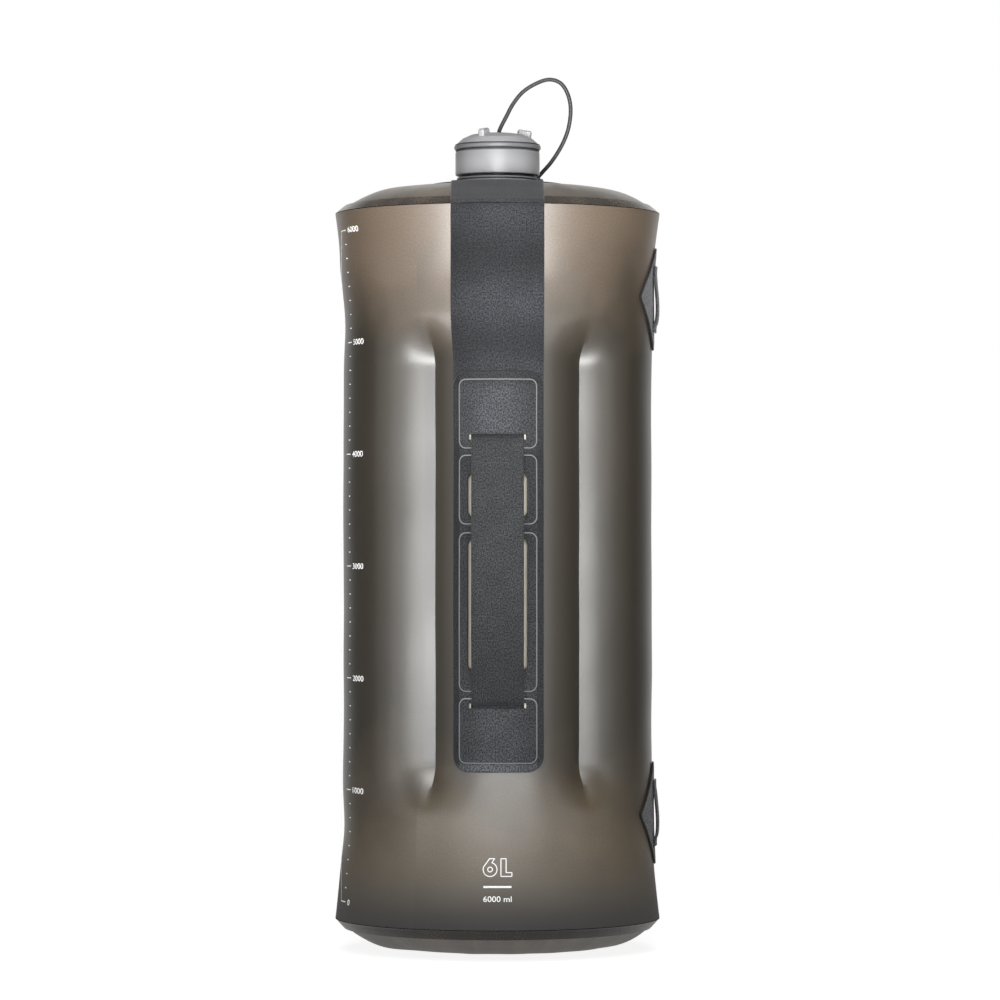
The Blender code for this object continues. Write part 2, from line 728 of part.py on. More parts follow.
def lash_loop_route(bulge):
    """Centre line of a lash strip as (v, lift over the patch), flat at both feet."""
    half = LASH_LOOP_LENGTH / 2
    seat = CLEARANCE + LASH_FABRIC / 2
    route = [(-half, seat), (-half + LASH_LOOP_FOOT, seat)]
    span = 2 * (half - LASH_LOOP_FOOT)
    for step in range(1, LASH_STEPS):
        share = step / LASH_STEPS
        rise = bulge * math.sin(math.pi * share) ** LASH_LOOP_POWER
        route.append((-half + LASH_LOOP_FOOT + span * share, seat + rise))
    return route + [(half - LASH_LOOP_FOOT, seat), (half, seat)]


def make_lash_point(name, place, bulge, loop_width, material, strip):
    loop = diamond_loop(LASH_HALF_DIAGONAL, LASH_CORNER)
    build = flat_sheet(f"{name}_patch", loop, LASH_FABRIC, material)
    columns = even_places(-LASH_HALF_DIAGONAL, LASH_HALF_DIAGONAL, LASH_STEPS)
    rows = even_places(-LASH_HALF_DIAGONAL, LASH_HALF_DIAGONAL, LASH_ROWS)
    bent_sheet(f"{name}_patch", build, place, material, columns, rows)

    def over_patch(u, v, w):
        return place(u, v, LASH_FABRIC + w)
    half = loop_width / 2
    widths = [-half, -half / 3, half / 3, half]
    bent_strip(f"{name}_loop", lash_loop_route(bulge), widths, LASH_FABRIC, over_patch, strip)


def make_lash_points(material, strip):
    for name, rise in (("upper_lash", UPPER_LASH_RISE), ("lower_lash", LOWER_LASH_RISE)):
        place = on_wall(SIDE_AZIMUTH, BOTTOM_RIM_Z + rise, CLEARANCE)
        make_lash_point(name, place, LASH_LOOP_BULGE, LASH_LOOP_WIDTH, material, strip)
    film_z = BOTTOM_RIM_Z - BOTTOM_DOME_HEIGHT

    def under_base(u, v, w):
        return Vector((u, v, film_z - CLEARANCE - w))
    make_lash_point("base_lash", under_base, 0, BASE_LOOP_WIDTH, material, strip)


# Neck, ring and cap

def thread_build(root_radius, crest_radius, degrees, start_z):
    """Ridges of a right-hand thread, tapered to nothing at both ends."""
    outward = math.copysign(1, crest_radius - root_radius)
    sunk = root_radius - outward * THREAD_SINK
    build = bmesh.new()
    steps = round((degrees[1] - degrees[0]) / THREAD_STEP_DEGREES)
    for start in range(THREAD_STARTS):
        sections = []
        for step in range(steps + 1):
            share = step / steps
            turn = degrees[0] + (degrees[1] - degrees[0]) * share
            height = min(1.0, min(share, 1 - share) * steps / THREAD_TAPER_STEPS)
            crest = sunk + (crest_radius - sunk) * max(height, THREAD_END_SHARE)
            angle = math.radians(turn) + math.tau * start / THREAD_STARTS
            z = start_z + THREAD_LEAD * turn / 360
            corners = [
                (sunk, z - THREAD_ROOT_WIDTH / 2),
                (crest, z - THREAD_CREST_WIDTH / 2),
                (crest, z + THREAD_CREST_WIDTH / 2),
                (sunk, z + THREAD_ROOT_WIDTH / 2),
            ]
            cosine = math.cos(angle)
            sine = math.sin(angle)
            section = [build.verts.new((radius * cosine, radius * sine, level)) for radius, level in corners]
            sections.append(section)
        build.faces.new(sections[0])
        build.faces.new(sections[-1])
        for first, second in zip(sections, sections[1:]):
            for index in range(4):
                after = (index + 1) % 4
                build.faces.new([first[index], first[after], second[after], second[index]])
    return build


def make_neck(material):
    flange_top = DOME_TOP_Z - FILM - CLEARANCE
    profile = [
        (NECK_BORE_RADIUS, flange_top - FLANGE_THICKNESS),
        (FLANGE_RADIUS, flange_top - FLANGE_THICKNESS),
        (FLANGE_RADIUS, flange_top),
        (NECK_RADIUS, flange_top),
        (NECK_RADIUS, COLLAR_Z),
        (COLLAR_RADIUS, COLLAR_Z),
        (COLLAR_RADIUS, COLLAR_TOP_Z),
        (NECK_RADIUS, COLLAR_TOP_Z),
        (NECK_RADIUS, NECK_TOP_Z - NECK_CHAMFER),
        (NECK_RADIUS - NECK_CHAMFER, NECK_TOP_Z),
        (NECK_BORE_RADIUS, NECK_TOP_Z),
    ]
    neck = turned("neck", profile, NECK_SEGMENTS, material)
    crest = NECK_RADIUS + THREAD_DEPTH
    ridges = thread_build(NECK_RADIUS, crest, NECK_THREAD_DEGREES, COLLAR_TOP_Z + NECK_THREAD_RISE)
    combine(neck, add_object("neck_thread", ridges, material), "UNION")


def make_tether_ring(material):
    bore = NECK_RADIUS + CLEARANCE
    edge = RING_HEIGHT / 8
    profile = [
        (bore, RING_Z),
        (RING_RADIUS - edge, RING_Z),
        (RING_RADIUS, RING_Z + edge),
        (RING_RADIUS, RING_Z + RING_HEIGHT - edge),
        (RING_RADIUS - edge, RING_Z + RING_HEIGHT),
        (bore, RING_Z + RING_HEIGHT),
    ]
    ring = turned("tether_neck_ring", profile, NECK_SEGMENTS, material)
    reach = math.hypot(*EAR_PLACE)
    angle = math.atan2(EAR_PLACE[1], EAR_PLACE[0])
    middle = (bore + RING_RADIUS) / 2
    half = EAR_WEB_WIDTH / 2
    corners = [(middle, -half), (reach, -half), (reach, half), (middle, half)]
    cosine = math.cos(angle)
    sine = math.sin(angle)
    turn = [(u * cosine - v * sine, u * sine + v * cosine) for u, v in corners]
    inset = RING_HEIGHT / 6
    web = prism(turn, RING_Z + inset, RING_Z + RING_HEIGHT - inset)
    combine(ring, add_object("ear_web", web, material), "UNION")
    socket = prism(round_loop(EAR_PLACE, EAR_RADIUS, EAR_SEGMENTS), RING_Z, RING_Z + EAR_HEIGHT)
    combine(ring, add_object("ear_socket", socket, material), "UNION")


def make_button(material):
    low = CAP_TOP_Z + CLEARANCE
    drum_top = CAP_DOME_TOP_Z - CAP_DOME_WALL - CLEARANCE
    profile = [
        (0, low),
        (BUTTON_RADIUS, low),
        (BUTTON_RADIUS, drum_top),
        (BUTTON_STEM_RADIUS, drum_top),
        (BUTTON_STEM_RADIUS, BUTTON_TOP_Z),
        (0, BUTTON_TOP_Z),
    ]
    turned("tether_button", profile, BUTTON_SEGMENTS, material)


def smooth_points(points, steps):
    """Points on a smooth curve that runs through the route's own points."""
    padded = [points[0] * 2 - points[1]] + points + [points[-1] * 2 - points[-2]]
    result = []
    for index in range(1, len(padded) - 2):
        a, b, c, d = padded[index - 1:index + 3]
        for step in range(steps):
            t = step / steps
            bend = (2 * a - 5 * b + 4 * c - d) * t * t + (3 * b - a - 3 * c + d) * t ** 3
            result.append((2 * b + (c - a) * t + bend) / 2)
    return result + [points[-1]]


# Route of the tether cord in metres, from the button to the ear, read from the photograph
TETHER_ROUTE = [
    (0.0009, 0.0000, 0.4086),
    (0.0009, 0.0000, 0.4098),
    (0.0022, 0.0003, 0.4128),
    (0.0044, 0.0008, 0.4170),
    (0.0076, 0.0015, 0.4231),
    (0.0124, 0.0024, 0.4292),
    (0.0187, 0.0034, 0.4335),
    (0.0256, 0.0044, 0.4359),
    (0.0316, 0.0054, 0.4342),
    (0.0353, 0.0064, 0.4286),
    (0.0367, 0.0074, 0.4211),
    (0.0356, 0.0085, 0.4119),
    (0.0324, 0.0097, 0.4036),
    (0.0273, 0.0110, 0.3955),
    (0.0224, 0.0121, 0.3899),
    (0.0206, 0.0124, 0.3878),
    (0.0206, 0.0124, 0.3868),
]


def make_tether_cord(material):
    points = smooth_points([Vector(point) for point in TETHER_ROUTE], CORD_STEPS)
    curve = bpy.data.curves.new("tether_cord", "CURVE")
    curve.dimensions = "3D"
    curve.bevel_depth = CORD_DIAMETER / 2
    curve.bevel_resolution = 2
    curve.use_fill_caps = True
    spline = curve.splines.new("POLY")
    spline.points.add(len(points) - 1)
    for target, point in zip(spline.points, points):
        target.co = (*point, 1)
    curve.materials.append(material)
    cord = bpy.data.objects.new("tether_cord", curve)
    bpy.context.scene.collection.objects.link(cord)


def make_cap_body(material):
    seat_z = CAP_Z + CAP_SEAT_RISE
    shoulder_z = CAP_Z + CAP_SKIRT_HEIGHT
    profile = [
        (CAP_ROOT_RADIUS, CAP_Z),
        (CAP_RADIUS - CAP_EDGE, CAP_Z),
        (CAP_RADIUS, CAP_Z + CAP_EDGE),
        (CAP_RADIUS, shoulder_z - CAP_EDGE),
        (CAP_RADIUS - CAP_EDGE, shoulder_z),
        (CAP_SHOULDER_RADIUS, shoulder_z),
        (CAP_SHOULDER_RADIUS, CAP_TOP_Z),
        (0, CAP_TOP_Z),
        (0, CAP_CEILING_Z),
        (CAP_SEAT_RADIUS, CAP_CEILING_Z),
        (CAP_SEAT_RADIUS, seat_z),
        (CAP_ROOT_RADIUS, seat_z),
    ]
    body = turned("cap_body", profile, NECK_SEGMENTS, material)
    crest = CAP_ROOT_RADIUS - THREAD_DEPTH
    start_z = COLLAR_TOP_Z + NECK_THREAD_RISE + THREAD_LEAD / THREAD_STARTS / 2
    ridges = thread_build(CAP_ROOT_RADIUS, crest, CAP_THREAD_DEGREES, start_z)
    combine(body, add_object("cap_thread", ridges, material), "UNION")


def make_cap_band(material):
    bore = CAP_SHOULDER_RADIUS + CLEARANCE
    top = CAP_DOME_Z - CLEARANCE
    low = top - CAP_BAND_HEIGHT
    profile = [
        (bore, low),
        (CAP_BAND_RADIUS - CAP_BAND_EDGE, low),
        (CAP_BAND_RADIUS, low + CAP_BAND_EDGE),
        (CAP_BAND_RADIUS, top - CAP_BAND_EDGE),
        (CAP_BAND_RADIUS - CAP_BAND_EDGE, top),
        (bore, top),
    ]
    turned("cap_band", profile, NECK_SEGMENTS, material)


def make_cap_gasket(material):
    profile = [
        (GASKET_BORE_RADIUS, GASKET_Z),
        (GASKET_RADIUS, GASKET_Z),
        (GASKET_RADIUS, GASKET_Z + GASKET_THICKNESS),
        (GASKET_BORE_RADIUS, GASKET_Z + GASKET_THICKNESS),
    ]
    turned("cap_gasket", profile, NECK_SEGMENTS, material)


def cap_dome_curve(radius, height):
    """Points of the cap's dome from its edge to its hole."""
    hole = BUTTON_STEM_RADIUS + CLEARANCE
    points = []
    for step in range(CAP_DOME_STEPS + 1):
        reach = hole + (radius - hole) * math.cos(math.pi / 2 * step / CAP_DOME_STEPS)
        rise = height * (1 - (reach / radius) ** CAP_DOME_POWER)
        points.append((reach, CAP_DOME_Z + rise))
    return points


def make_cap_dome(material):
    outer = cap_dome_curve(CAP_DOME_RADIUS, CAP_DOME_HEIGHT)
    inner = cap_dome_curve(CAP_DOME_RADIUS - CAP_DOME_WALL, CAP_DOME_HEIGHT - CAP_DOME_WALL)
    profile = outer + inner[::-1]
    dome = turned("cap_dome", profile, NECK_SEGMENTS, material)
    for number in range(LUGS):
        build = bmesh.new()
        bmesh.ops.create_cube(build, size=1)
        bmesh.ops.scale(build, vec=(LUG_LENGTH, LUG_WIDTH, LUG_HEIGHT), verts=build.verts)
        bmesh.ops.bevel(build, geom=build.edges, offset=LUG_EDGE, segments=1, affect="EDGES")
        lug = add_object(f"lug_{number}", build, material)
        angle = math.tau * number / LUGS
        z = CAP_DOME_TOP_Z + LUG_PROUD - LUG_HEIGHT / 2
        lug.location = (LUG_RADIUS * math.cos(angle), LUG_RADIUS * math.sin(angle), z)
        lug.rotation_euler = (0, math.radians(LUG_TILT_DEGREES), angle)
        combine(dome, lug, "UNION")


def main():
    clear_scene()
    film = finish("smoke_film", srgb(120, 111, 101), 0.45)
    weld = finish("weld_band", srgb(75, 68, 62), 0.35)
    webbing = finish("black_webbing", srgb(66, 67, 71), 0.85)
    moulded = finish("handle_rubber", srgb(78, 80, 83), 0.7)
    lash = finish("lash_fabric", srgb(70, 70, 74), 0.8)
    dark = finish("neck_plastic", srgb(42, 42, 44), 0.4)
    rubber = finish("tether_rubber", srgb(38, 38, 40), 0.6)
    grey = finish("cap_plastic", srgb(150, 150, 151), 0.45)
    bright = finish("cap_band_plastic", srgb(165, 165, 166), 0.4)
    seal = finish("gasket_silicone", srgb(200, 200, 198), 0.6)
    make_wall_sheet(film)
    make_baffle("left_baffle", LEFT_FOLD, film)
    make_baffle("right_baffle", RIGHT_FOLD, film)
    make_panels(film, weld)
    make_rear_seam(weld)
    make_strap_yoke(webbing)
    make_carry_strap(webbing)
    make_handle_plate(moulded)
    make_hand_strap(webbing)
    make_lash_points(lash, webbing)
    make_neck(dark)
    make_tether_ring(rubber)
    make_button(rubber)
    make_tether_cord(rubber)
    make_cap_body(grey)
    make_cap_gasket(seal)
    make_cap_band(bright)
    make_cap_dome(grey)


main()
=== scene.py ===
# %% [markdown]
# A collapsible water carrier: a film bag with baffles, a carry strap, lash points and a tethered screw cap.
# The CAD parts carry the motion, and this notebook dresses them with finer pieces and procedural finishes.
# Lengths are metres, +Z is up, the strap faces -Y and the side lash points face +X.

# %% Frame
import math

import bmesh
import bpy
import numpy as np
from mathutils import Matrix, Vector, noise
from mathutils.geometry import delaunay_2d_cdt


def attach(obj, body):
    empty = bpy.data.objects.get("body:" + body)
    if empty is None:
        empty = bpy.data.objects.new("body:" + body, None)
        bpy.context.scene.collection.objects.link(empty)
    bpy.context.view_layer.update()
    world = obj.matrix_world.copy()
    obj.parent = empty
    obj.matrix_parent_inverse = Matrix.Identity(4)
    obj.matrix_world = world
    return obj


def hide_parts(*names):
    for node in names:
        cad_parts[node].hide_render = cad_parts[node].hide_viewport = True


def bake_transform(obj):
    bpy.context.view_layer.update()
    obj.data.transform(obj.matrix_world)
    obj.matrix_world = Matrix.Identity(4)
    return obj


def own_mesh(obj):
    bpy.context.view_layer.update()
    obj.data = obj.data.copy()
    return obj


MM = 0.001
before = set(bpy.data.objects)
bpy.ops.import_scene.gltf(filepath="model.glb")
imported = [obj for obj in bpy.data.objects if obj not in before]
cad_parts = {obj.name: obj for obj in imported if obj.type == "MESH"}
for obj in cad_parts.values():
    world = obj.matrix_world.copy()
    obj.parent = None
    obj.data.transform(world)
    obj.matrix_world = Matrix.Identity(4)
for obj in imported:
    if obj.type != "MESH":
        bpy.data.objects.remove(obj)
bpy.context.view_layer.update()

# %% [markdown]
# The camera stands level and far away, as for a catalogue picture, so both silhouettes look straight.
# A wide box low in front gives the film its broad sheen, boxes on a ring round the bag draw the pale
# bands beside the creases, and a small one lights the cap. One large lamp would leave the film flat.

# %% Camera and lamps
CAMERA_PLACE = (1.25 * MM, -2.25, 205.25 * MM)
SENSOR_WIDTH = 36
SEEN_WIDTH = 0.5
FRONT_BOXES = {
    "table_box": ((0, -1.3, 0.02), (0, -1.3, 1), (1.6, 1.0), 18.0),
    "top_box": ((0, -0.5, 1.6), (0, -0.1, 0.2), (1.1, 0.9), 1.0),
    "front_high_box": ((0, -1.5, 1.08), (0, 0, 0.1), (1.0, 1.2), 4.2),
    "cap_box": ((0, -0.5, 0.5), (0, 0, 0.39), (0.16, 0.1), 3.8),
}
RING_RADIUS = 2.6
RING_BOXES = {
    "left_low_box": (-54, (0.0, 0.25), 0.8, 3.6),
    "left_high_box": (-54, (0.55, 1.0), 0.8, 1.2),
    "front_left_box": (-36, (0.5, 1.0), 0.8, 0.5),
    "right_box": (54, (0.2, 0.55), 0.8, 2.3),
    "left_side_box": (-80, (0.0, 1.0), 1.3, 0.48),
    "right_side_box": (80, (0.0, 1.0), 1.3, 0.2),
}
scene = bpy.context.scene
scene.view_settings.view_transform = "Standard"
camera = bpy.data.objects.new("camera", bpy.data.cameras.new("camera"))
camera.data.sensor_width = SENSOR_WIDTH
camera.data.lens = SENSOR_WIDTH * -CAMERA_PLACE[1] / SEEN_WIDTH
camera.data.shift_y = 0.04
camera.location = CAMERA_PLACE
camera.rotation_euler = (math.pi / 2, 0, 0)
scene.collection.objects.link(camera)
scene.camera = camera


def area_lamp(name, place, target, size, radiance):
    lamp = bpy.data.lights.new(name, "AREA")
    lamp.shape = "RECTANGLE"
    lamp.size, lamp.size_y = size
    lamp.energy = radiance * math.pi * size[0] * size[1]
    item = bpy.data.objects.new(name, lamp)
    item.location = place
    item.rotation_euler = (Vector(target) - Vector(place)).to_track_quat("-Z", "Y").to_euler()
    scene.collection.objects.link(item)


for name, settings in FRONT_BOXES.items():
    area_lamp(name, *settings)
bpy.data.objects["cap_box"].visible_camera = False
for name, (degrees, (low, high), width, radiance) in RING_BOXES.items():
    turn = math.radians(degrees)
    place = (RING_RADIUS * math.sin(turn), -RING_RADIUS * math.cos(turn), (low + high) / 2)
    area_lamp(name, place, (0, 0, place[2]), (width, high - low), radiance)
print("lamps", len(FRONT_BOXES) + len(RING_BOXES))

# %% [markdown]
# All finishes are node trees. These helpers keep them short: an argument may be a socket or a plain value.

# %% Node helpers
FLOAT = "NodeSocketFloat"
VECTOR = "NodeSocketVector"


class Net:
    def __init__(self, tree):
        self.tree = tree

    def feed(self, socket, value):
        if isinstance(value, bpy.types.NodeSocket):
            self.tree.links.new(value, socket)
        else:
            socket.default_value = value

    def add(self, kind, inputs=None, **settings):
        node = self.tree.nodes.new(kind)
        for key, value in settings.items():
            setattr(node, key, value)
        for key, value in (inputs or {}).items():
            self.feed(node.inputs[key], value)
        return node

    def math(self, operation, *values):
        return self.add("ShaderNodeMath", dict(enumerate(values)), operation=operation).outputs[0]

    def times(self, product, *values):
        for value in values:
            product = self.math("MULTIPLY", product, value)
        return product

    def vector(self, operation, inputs, output="Vector"):
        return self.add("ShaderNodeVectorMath", inputs, operation=operation).outputs[output]

    def scale(self, vector, value):
        return self.vector("SCALE", {0: vector, 3: value})

    def stretch(self, vector, x, y, z=1.0):
        return self.vector("MULTIPLY", {0: vector, 1: (x, y, z)})

    def split(self, vector):
        return self.add("ShaderNodeSeparateXYZ", {0: vector}).outputs

    def mix(self, share, low, high):
        return self.add("ShaderNodeMix", {0: share, 6: low, 7: high}, data_type="RGBA").outputs[2]

    def noise(self, vector, scale, detail=2.0, roughness=0.5):
        inputs = {"Vector": vector, "Scale": scale, "Detail": detail, "Roughness": roughness}
        return self.add("ShaderNodeTexNoise", inputs).outputs[0]

    def ramp(self, value, low, high, to_low=0.0, to_high=1.0):
        inputs = {0: value, 1: low, 2: high, 3: to_low, 4: to_high}
        return self.add("ShaderNodeMapRange", inputs, interpolation_type="SMOOTHSTEP").outputs[0]


def srgb(red, green, blue):
    """Linear colour of an 8-bit screen colour."""
    levels = [value / 255 for value in (red, green, blue)]
    return (*[v / 12.92 if v < 0.04 else ((v + 0.055) / 1.055) ** 2.4 for v in levels], 1.0)


def new_group(name, inputs, outputs):
    """Shader group with the value of each input, or None, and the kind of each output."""
    tree = bpy.data.node_groups.new(name, "ShaderNodeTree")
    for label, value in inputs.items():
        kind = VECTOR if value is None else FLOAT
        socket = tree.interface.new_socket(label, in_out="INPUT", socket_type=kind)
        if value is not None:
            socket.default_value = value
    for label, kind in outputs.items():
        tree.interface.new_socket(label, in_out="OUTPUT", socket_type=kind)
    net = Net(tree)
    return net, net.add("NodeGroupInput").outputs, net.add("NodeGroupOutput").inputs


def use_group(net, name, inputs):
    node = net.add("ShaderNodeGroup", node_tree=bpy.data.node_groups[name])
    for key, value in inputs.items():
        net.feed(node.inputs[key], value)
    return node.outputs


def new_material(name, **constants):
    """A material with its net and shader; constants are set on the shader's own sockets."""
    material = bpy.data.materials.new(name)
    material.use_nodes = True
    shader = material.node_tree.nodes["Principled BSDF"]
    for key, value in constants.items():
        shader.inputs[key.replace("_", " ")].default_value = value
    return material, Net(material.node_tree), shader


def surface_uv(net):
    """Place on the flat cut of the piece, in metres."""
    return net.add("ShaderNodeUVMap", uv_map="flat").outputs[0]


def bump(net, shader, height, strength, distance, normal=None):
    node = net.add("ShaderNodeBump", {"Strength": strength, "Distance": distance, "Height": height})
    if normal is not None:
        net.feed(node.inputs["Normal"], normal)
    net.feed(shader.inputs["Normal"], node.outputs[0])


# %% [markdown]
# The world and the floor are white to the camera and to mirror rays that leave behind or above the bag,
# and dim to all others, so the white ground adds no light to the bag. Near the bag the floor is a plain pale
# surface with a glow, which keeps the shadow.

# %% World and floor
ROOM_LEVEL = 0.06
OVERHEAD_LEVEL = 0.6
FLOOR_GLOW = 0.86
FLOOR_HALF = 4
BEHIND = (0.7, 0.95)
ABOVE = (0.5, 0.95)


def white_share(net, *shares):
    """1 for rays from the camera or through glass; mirror rays see the largest of the shares."""
    rays = net.add("ShaderNodeLightPath").outputs
    seen = net.math("MAXIMUM", rays["Is Camera Ray"], rays["Is Transmission Ray"])
    for share in shares:
        seen = net.math("MAXIMUM", seen, net.times(rays["Is Glossy Ray"], share))
    return seen


def dress_world():
    world = bpy.data.worlds.new("studio")
    scene.world = world
    world.use_nodes = True
    net = Net(world.node_tree)
    ray = net.split(net.add("ShaderNodeTexCoord").outputs["Generated"])
    seen = white_share(net, net.ramp(ray[1], *BEHIND), net.ramp(ray[2], *ABOVE, 0.0, OVERHEAD_LEVEL))
    level = net.add("ShaderNodeMix", {0: seen, 2: ROOM_LEVEL, 3: 1.0}).outputs[0]
    background = world.node_tree.nodes["Background"]
    background.inputs["Color"].default_value = (1, 1, 1, 1)
    net.feed(background.inputs["Strength"], level)


def floor_material():
    material, net, shader = new_material("white_sweep")
    net.tree.nodes.remove(shader)
    spot = net.add("ShaderNodeTexCoord").outputs["Object"]
    reach = net.vector("LENGTH", {0: spot}, "Value")
    behind = net.ramp(net.split(net.vector("NORMALIZE", {0: spot}))[1], *BEHIND)
    seen = white_share(net, behind, net.ramp(reach, 0.11, 0.25, 0.36, 0.0))
    glow = net.add("ShaderNodeEmission", {"Strength": net.times(seen, FLOOR_GLOW)}).outputs[0]
    sweep = net.add("ShaderNodeBsdfDiffuse", {"Color": (0.65, 0.65, 0.65, 1)}).outputs[0]
    near_floor = net.add("ShaderNodeAddShader", {0: glow, 1: sweep}).outputs[0]
    white = net.add("ShaderNodeEmission", {"Strength": 1.0}).outputs[0]
    far_floor = net.add("ShaderNodeMixShader", {0: seen, 1: sweep, 2: white}).outputs[0]
    far = net.ramp(reach, 0.16, 0.6)
    both = net.add("ShaderNodeMixShader", {0: far, 1: near_floor, 2: far_floor}).outputs[0]
    net.feed(net.tree.nodes["Material Output"].inputs["Surface"], both)
    return material


dress_world()
floor_mesh = bpy.data.meshes.new("floor")
corners = [(x * FLOOR_HALF, y * FLOOR_HALF, 0) for x, y in ((-1, -1), (1, -1), (1, 1), (-1, 1))]
floor_mesh.from_pydata(corners, [], [(0, 1, 2, 3)])
floor_mesh.materials.append(floor_material())
floor = bpy.data.objects.new("floor", floor_mesh)
scene.collection.objects.link(floor)
print("world and floor")

# %% [markdown]
# Every dressed piece is one closed mesh. Turned and bent pieces are rings of points joined by faces, and
# each carries a flat map in metres, as if it were cut from the roll.

# %% Making meshes


def smooth_points(points, steps):
    """Smooth curve through all the points."""
    points = [Vector(point) for point in points]
    padded = [points[0] * 2 - points[1]] + points + [points[-1] * 2 - points[-2]]
    result = []
    for index in range(1, len(padded) - 2):
        a, b, c, d = padded[index - 1:index + 3]
        for step in range(steps):
            t = step / steps
            curve = (2 * a - 5 * b + 4 * c - d) * t * t + (3 * b - a - 3 * c + d) * t ** 3
            result.append((2 * b + (c - a) * t + curve) / 2)
    return result + [points[-1]]


def lengths_along(points):
    """Distance from the first point to each, along the line."""
    lengths = [0.0]
    for first, second in zip(points, points[1:]):
        lengths.append(lengths[-1] + (second - first).length)
    return lengths


def map_face(face, flat, spots):
    for loop, spot in zip(face.loops, spots):
        loop[flat].uv = spot


def join_rings(build, rings, closed=True):
    """Faces between following rings, and from the last ring to the first where closed."""
    for row in range(len(rings) if closed else len(rings) - 1):
        low, high = rings[row], rings[(row + 1) % len(rings)]
        for index in range(len(low)):
            after = (index + 1) % len(low)
            yield build.faces.new([low[index], low[after], high[after], high[index]]), row, index


def mesh_object(name, build, material, sharp_degrees=40):
    """Turn a bmesh into a smooth-shaded object with its faces pointing out."""
    bmesh.ops.recalc_face_normals(build, faces=build.faces)
    if build.calc_volume(signed=True) < 0:
        bmesh.ops.reverse_faces(build, faces=build.faces)
    mesh = bpy.data.meshes.new(name)
    build.to_mesh(mesh)
    build.free()
    for one in material if isinstance(material, (list, tuple)) else [material]:
        mesh.materials.append(one)
    mesh.shade_smooth()
    mesh.set_sharp_from_angle(angle=math.radians(sharp_degrees))
    item = bpy.data.objects.new(name, mesh)
    scene.collection.objects.link(item)
    return item


def tube(name, points, radius, material, segments=16):
    """Closed tube along points, with u round it and v along it on its flat map."""
    build = bmesh.new()
    flat = build.loops.layers.uv.new("flat")
    lengths = lengths_along(points)
    side = Vector((0, 1, 0))
    angles = [math.tau * step / segments for step in range(segments)]
    rings = []
    for index, point in enumerate(points):
        along = (points[min(index + 1, len(points) - 1)] - points[max(index - 1, 0)]).normalized()
        side = (side - along * side.dot(along)).normalized()
        cross = along.cross(side)
        turned = [side * math.cos(a) + cross * math.sin(a) for a in angles]
        rings.append([build.verts.new(point + way * radius) for way in turned])
    around = math.tau * radius / segments
    for face, row, index in join_rings(build, rings, closed=False):
        spots = [(index, row), (index + 1, row), (index + 1, row + 1), (index, row + 1)]
        map_face(face, flat, [(column * around, lengths[level]) for column, level in spots])
    build.faces.new(rings[0])
    build.faces.new(rings[-1])
    return mesh_object(name, build, material)


# %% [markdown]
# Plain weave, grain and mottling are shared groups. Each reads the flat map of its piece, so the pattern
# stays on the cloth when the bag folds up. The third group gives parts made of flat facets a round look.

# %% Shared shader groups
net, given, result = new_group(
    "plain_weave", {"Flat": None, "Pitch": 0.5 * MM},
    {"Height": FLOAT, "Thread": FLOAT, "Heather": FLOAT, "Tint": FLOAT},
)
cells = net.scale(given["Flat"], net.math("DIVIDE", 1.0, given["Pitch"]))
u, v = net.split(cells)[:2]
parity = net.math("MODULO", net.math("ADD", net.math("FLOOR", u), net.math("FLOOR", v)), 2.0)
parity = net.math("ABSOLUTE", parity)
across, along = [net.math("SINE", net.times(net.math("FRACT", way), math.pi)) for way in (u, v)]
warp, weft = [
    net.times(net.math("POWER", crown, 0.7), net.math("MULTIPLY_ADD", dip, 0.45, 0.55))
    for crown, dip in ((across, along), (along, across))
]
net.feed(result["Height"], net.add("ShaderNodeMix", {0: parity, 2: warp, 3: weft}).outputs[0])
net.feed(result["Thread"], net.noise(cells, 0.9, 1.0))
net.feed(result["Heather"], net.noise(net.stretch(cells, 1.0, 0.8), 0.8, 2.0, 0.7))
net.feed(result["Tint"], net.noise(given["Flat"], 90.0, 3.0))

net, given, result = new_group(
    "fine_grain", {"Flat": None, "Size": 0.6 * MM}, {"Grain": FLOAT, "Cloud": FLOAT},
)
size = net.math("DIVIDE", 1.0, given["Size"])
net.feed(result["Grain"], net.noise(given["Flat"], size, 2.5, 0.6))
net.feed(result["Cloud"], net.noise(given["Flat"], 22.0, 3.0, 0.55))

net, given, result = new_group("turned_normal", {"Place": None, "Facing": None}, {"Normal": VECTOR})
outward = net.vector("NORMALIZE", {0: net.stretch(given["Place"], 1.0, 1.0, 0.0)})
level_part = net.stretch(given["Facing"], 1.0, 1.0, 0.0)
radial = net.vector("DOT_PRODUCT", {0: outward, 1: level_part}, "Value")
length = net.math("MAXIMUM", net.vector("LENGTH", {0: level_part}, "Value"), 0.01)
share = net.math("DIVIDE", net.math("ABSOLUTE", radial), length)
upright = net.stretch(given["Facing"], 0.0, 0.0, 1.0)
rounded = net.vector("ADD", {0: net.scale(outward, radial), 1: upright})
rounded = net.mix(net.math("GREATER_THAN", share, 0.97), given["Facing"], rounded)
net.feed(result["Normal"], net.vector("NORMALIZE", {0: rounded}))
print("groups", len(bpy.data.node_groups))

# %% [markdown]
# Film: smoky satin plastic. The sheen comes from the shader. The base colour holds painted light: it is
# warmer and paler near both ends, for light let in through the end panels, and darker between them. Painted
# shade makes it darkest at the hem, which is also dullest. The end panels and bands have soft smudges
# instead, with painted light that makes the top end paler than the bottom. The film is opaque, as nothing
# shows through it.

# %% Film finishes
FOOT_REACH = (0.01, 0.12)
HEM_REACH = (0.014, 0.065)
HEAD_REACH = (0.29, 0.357)


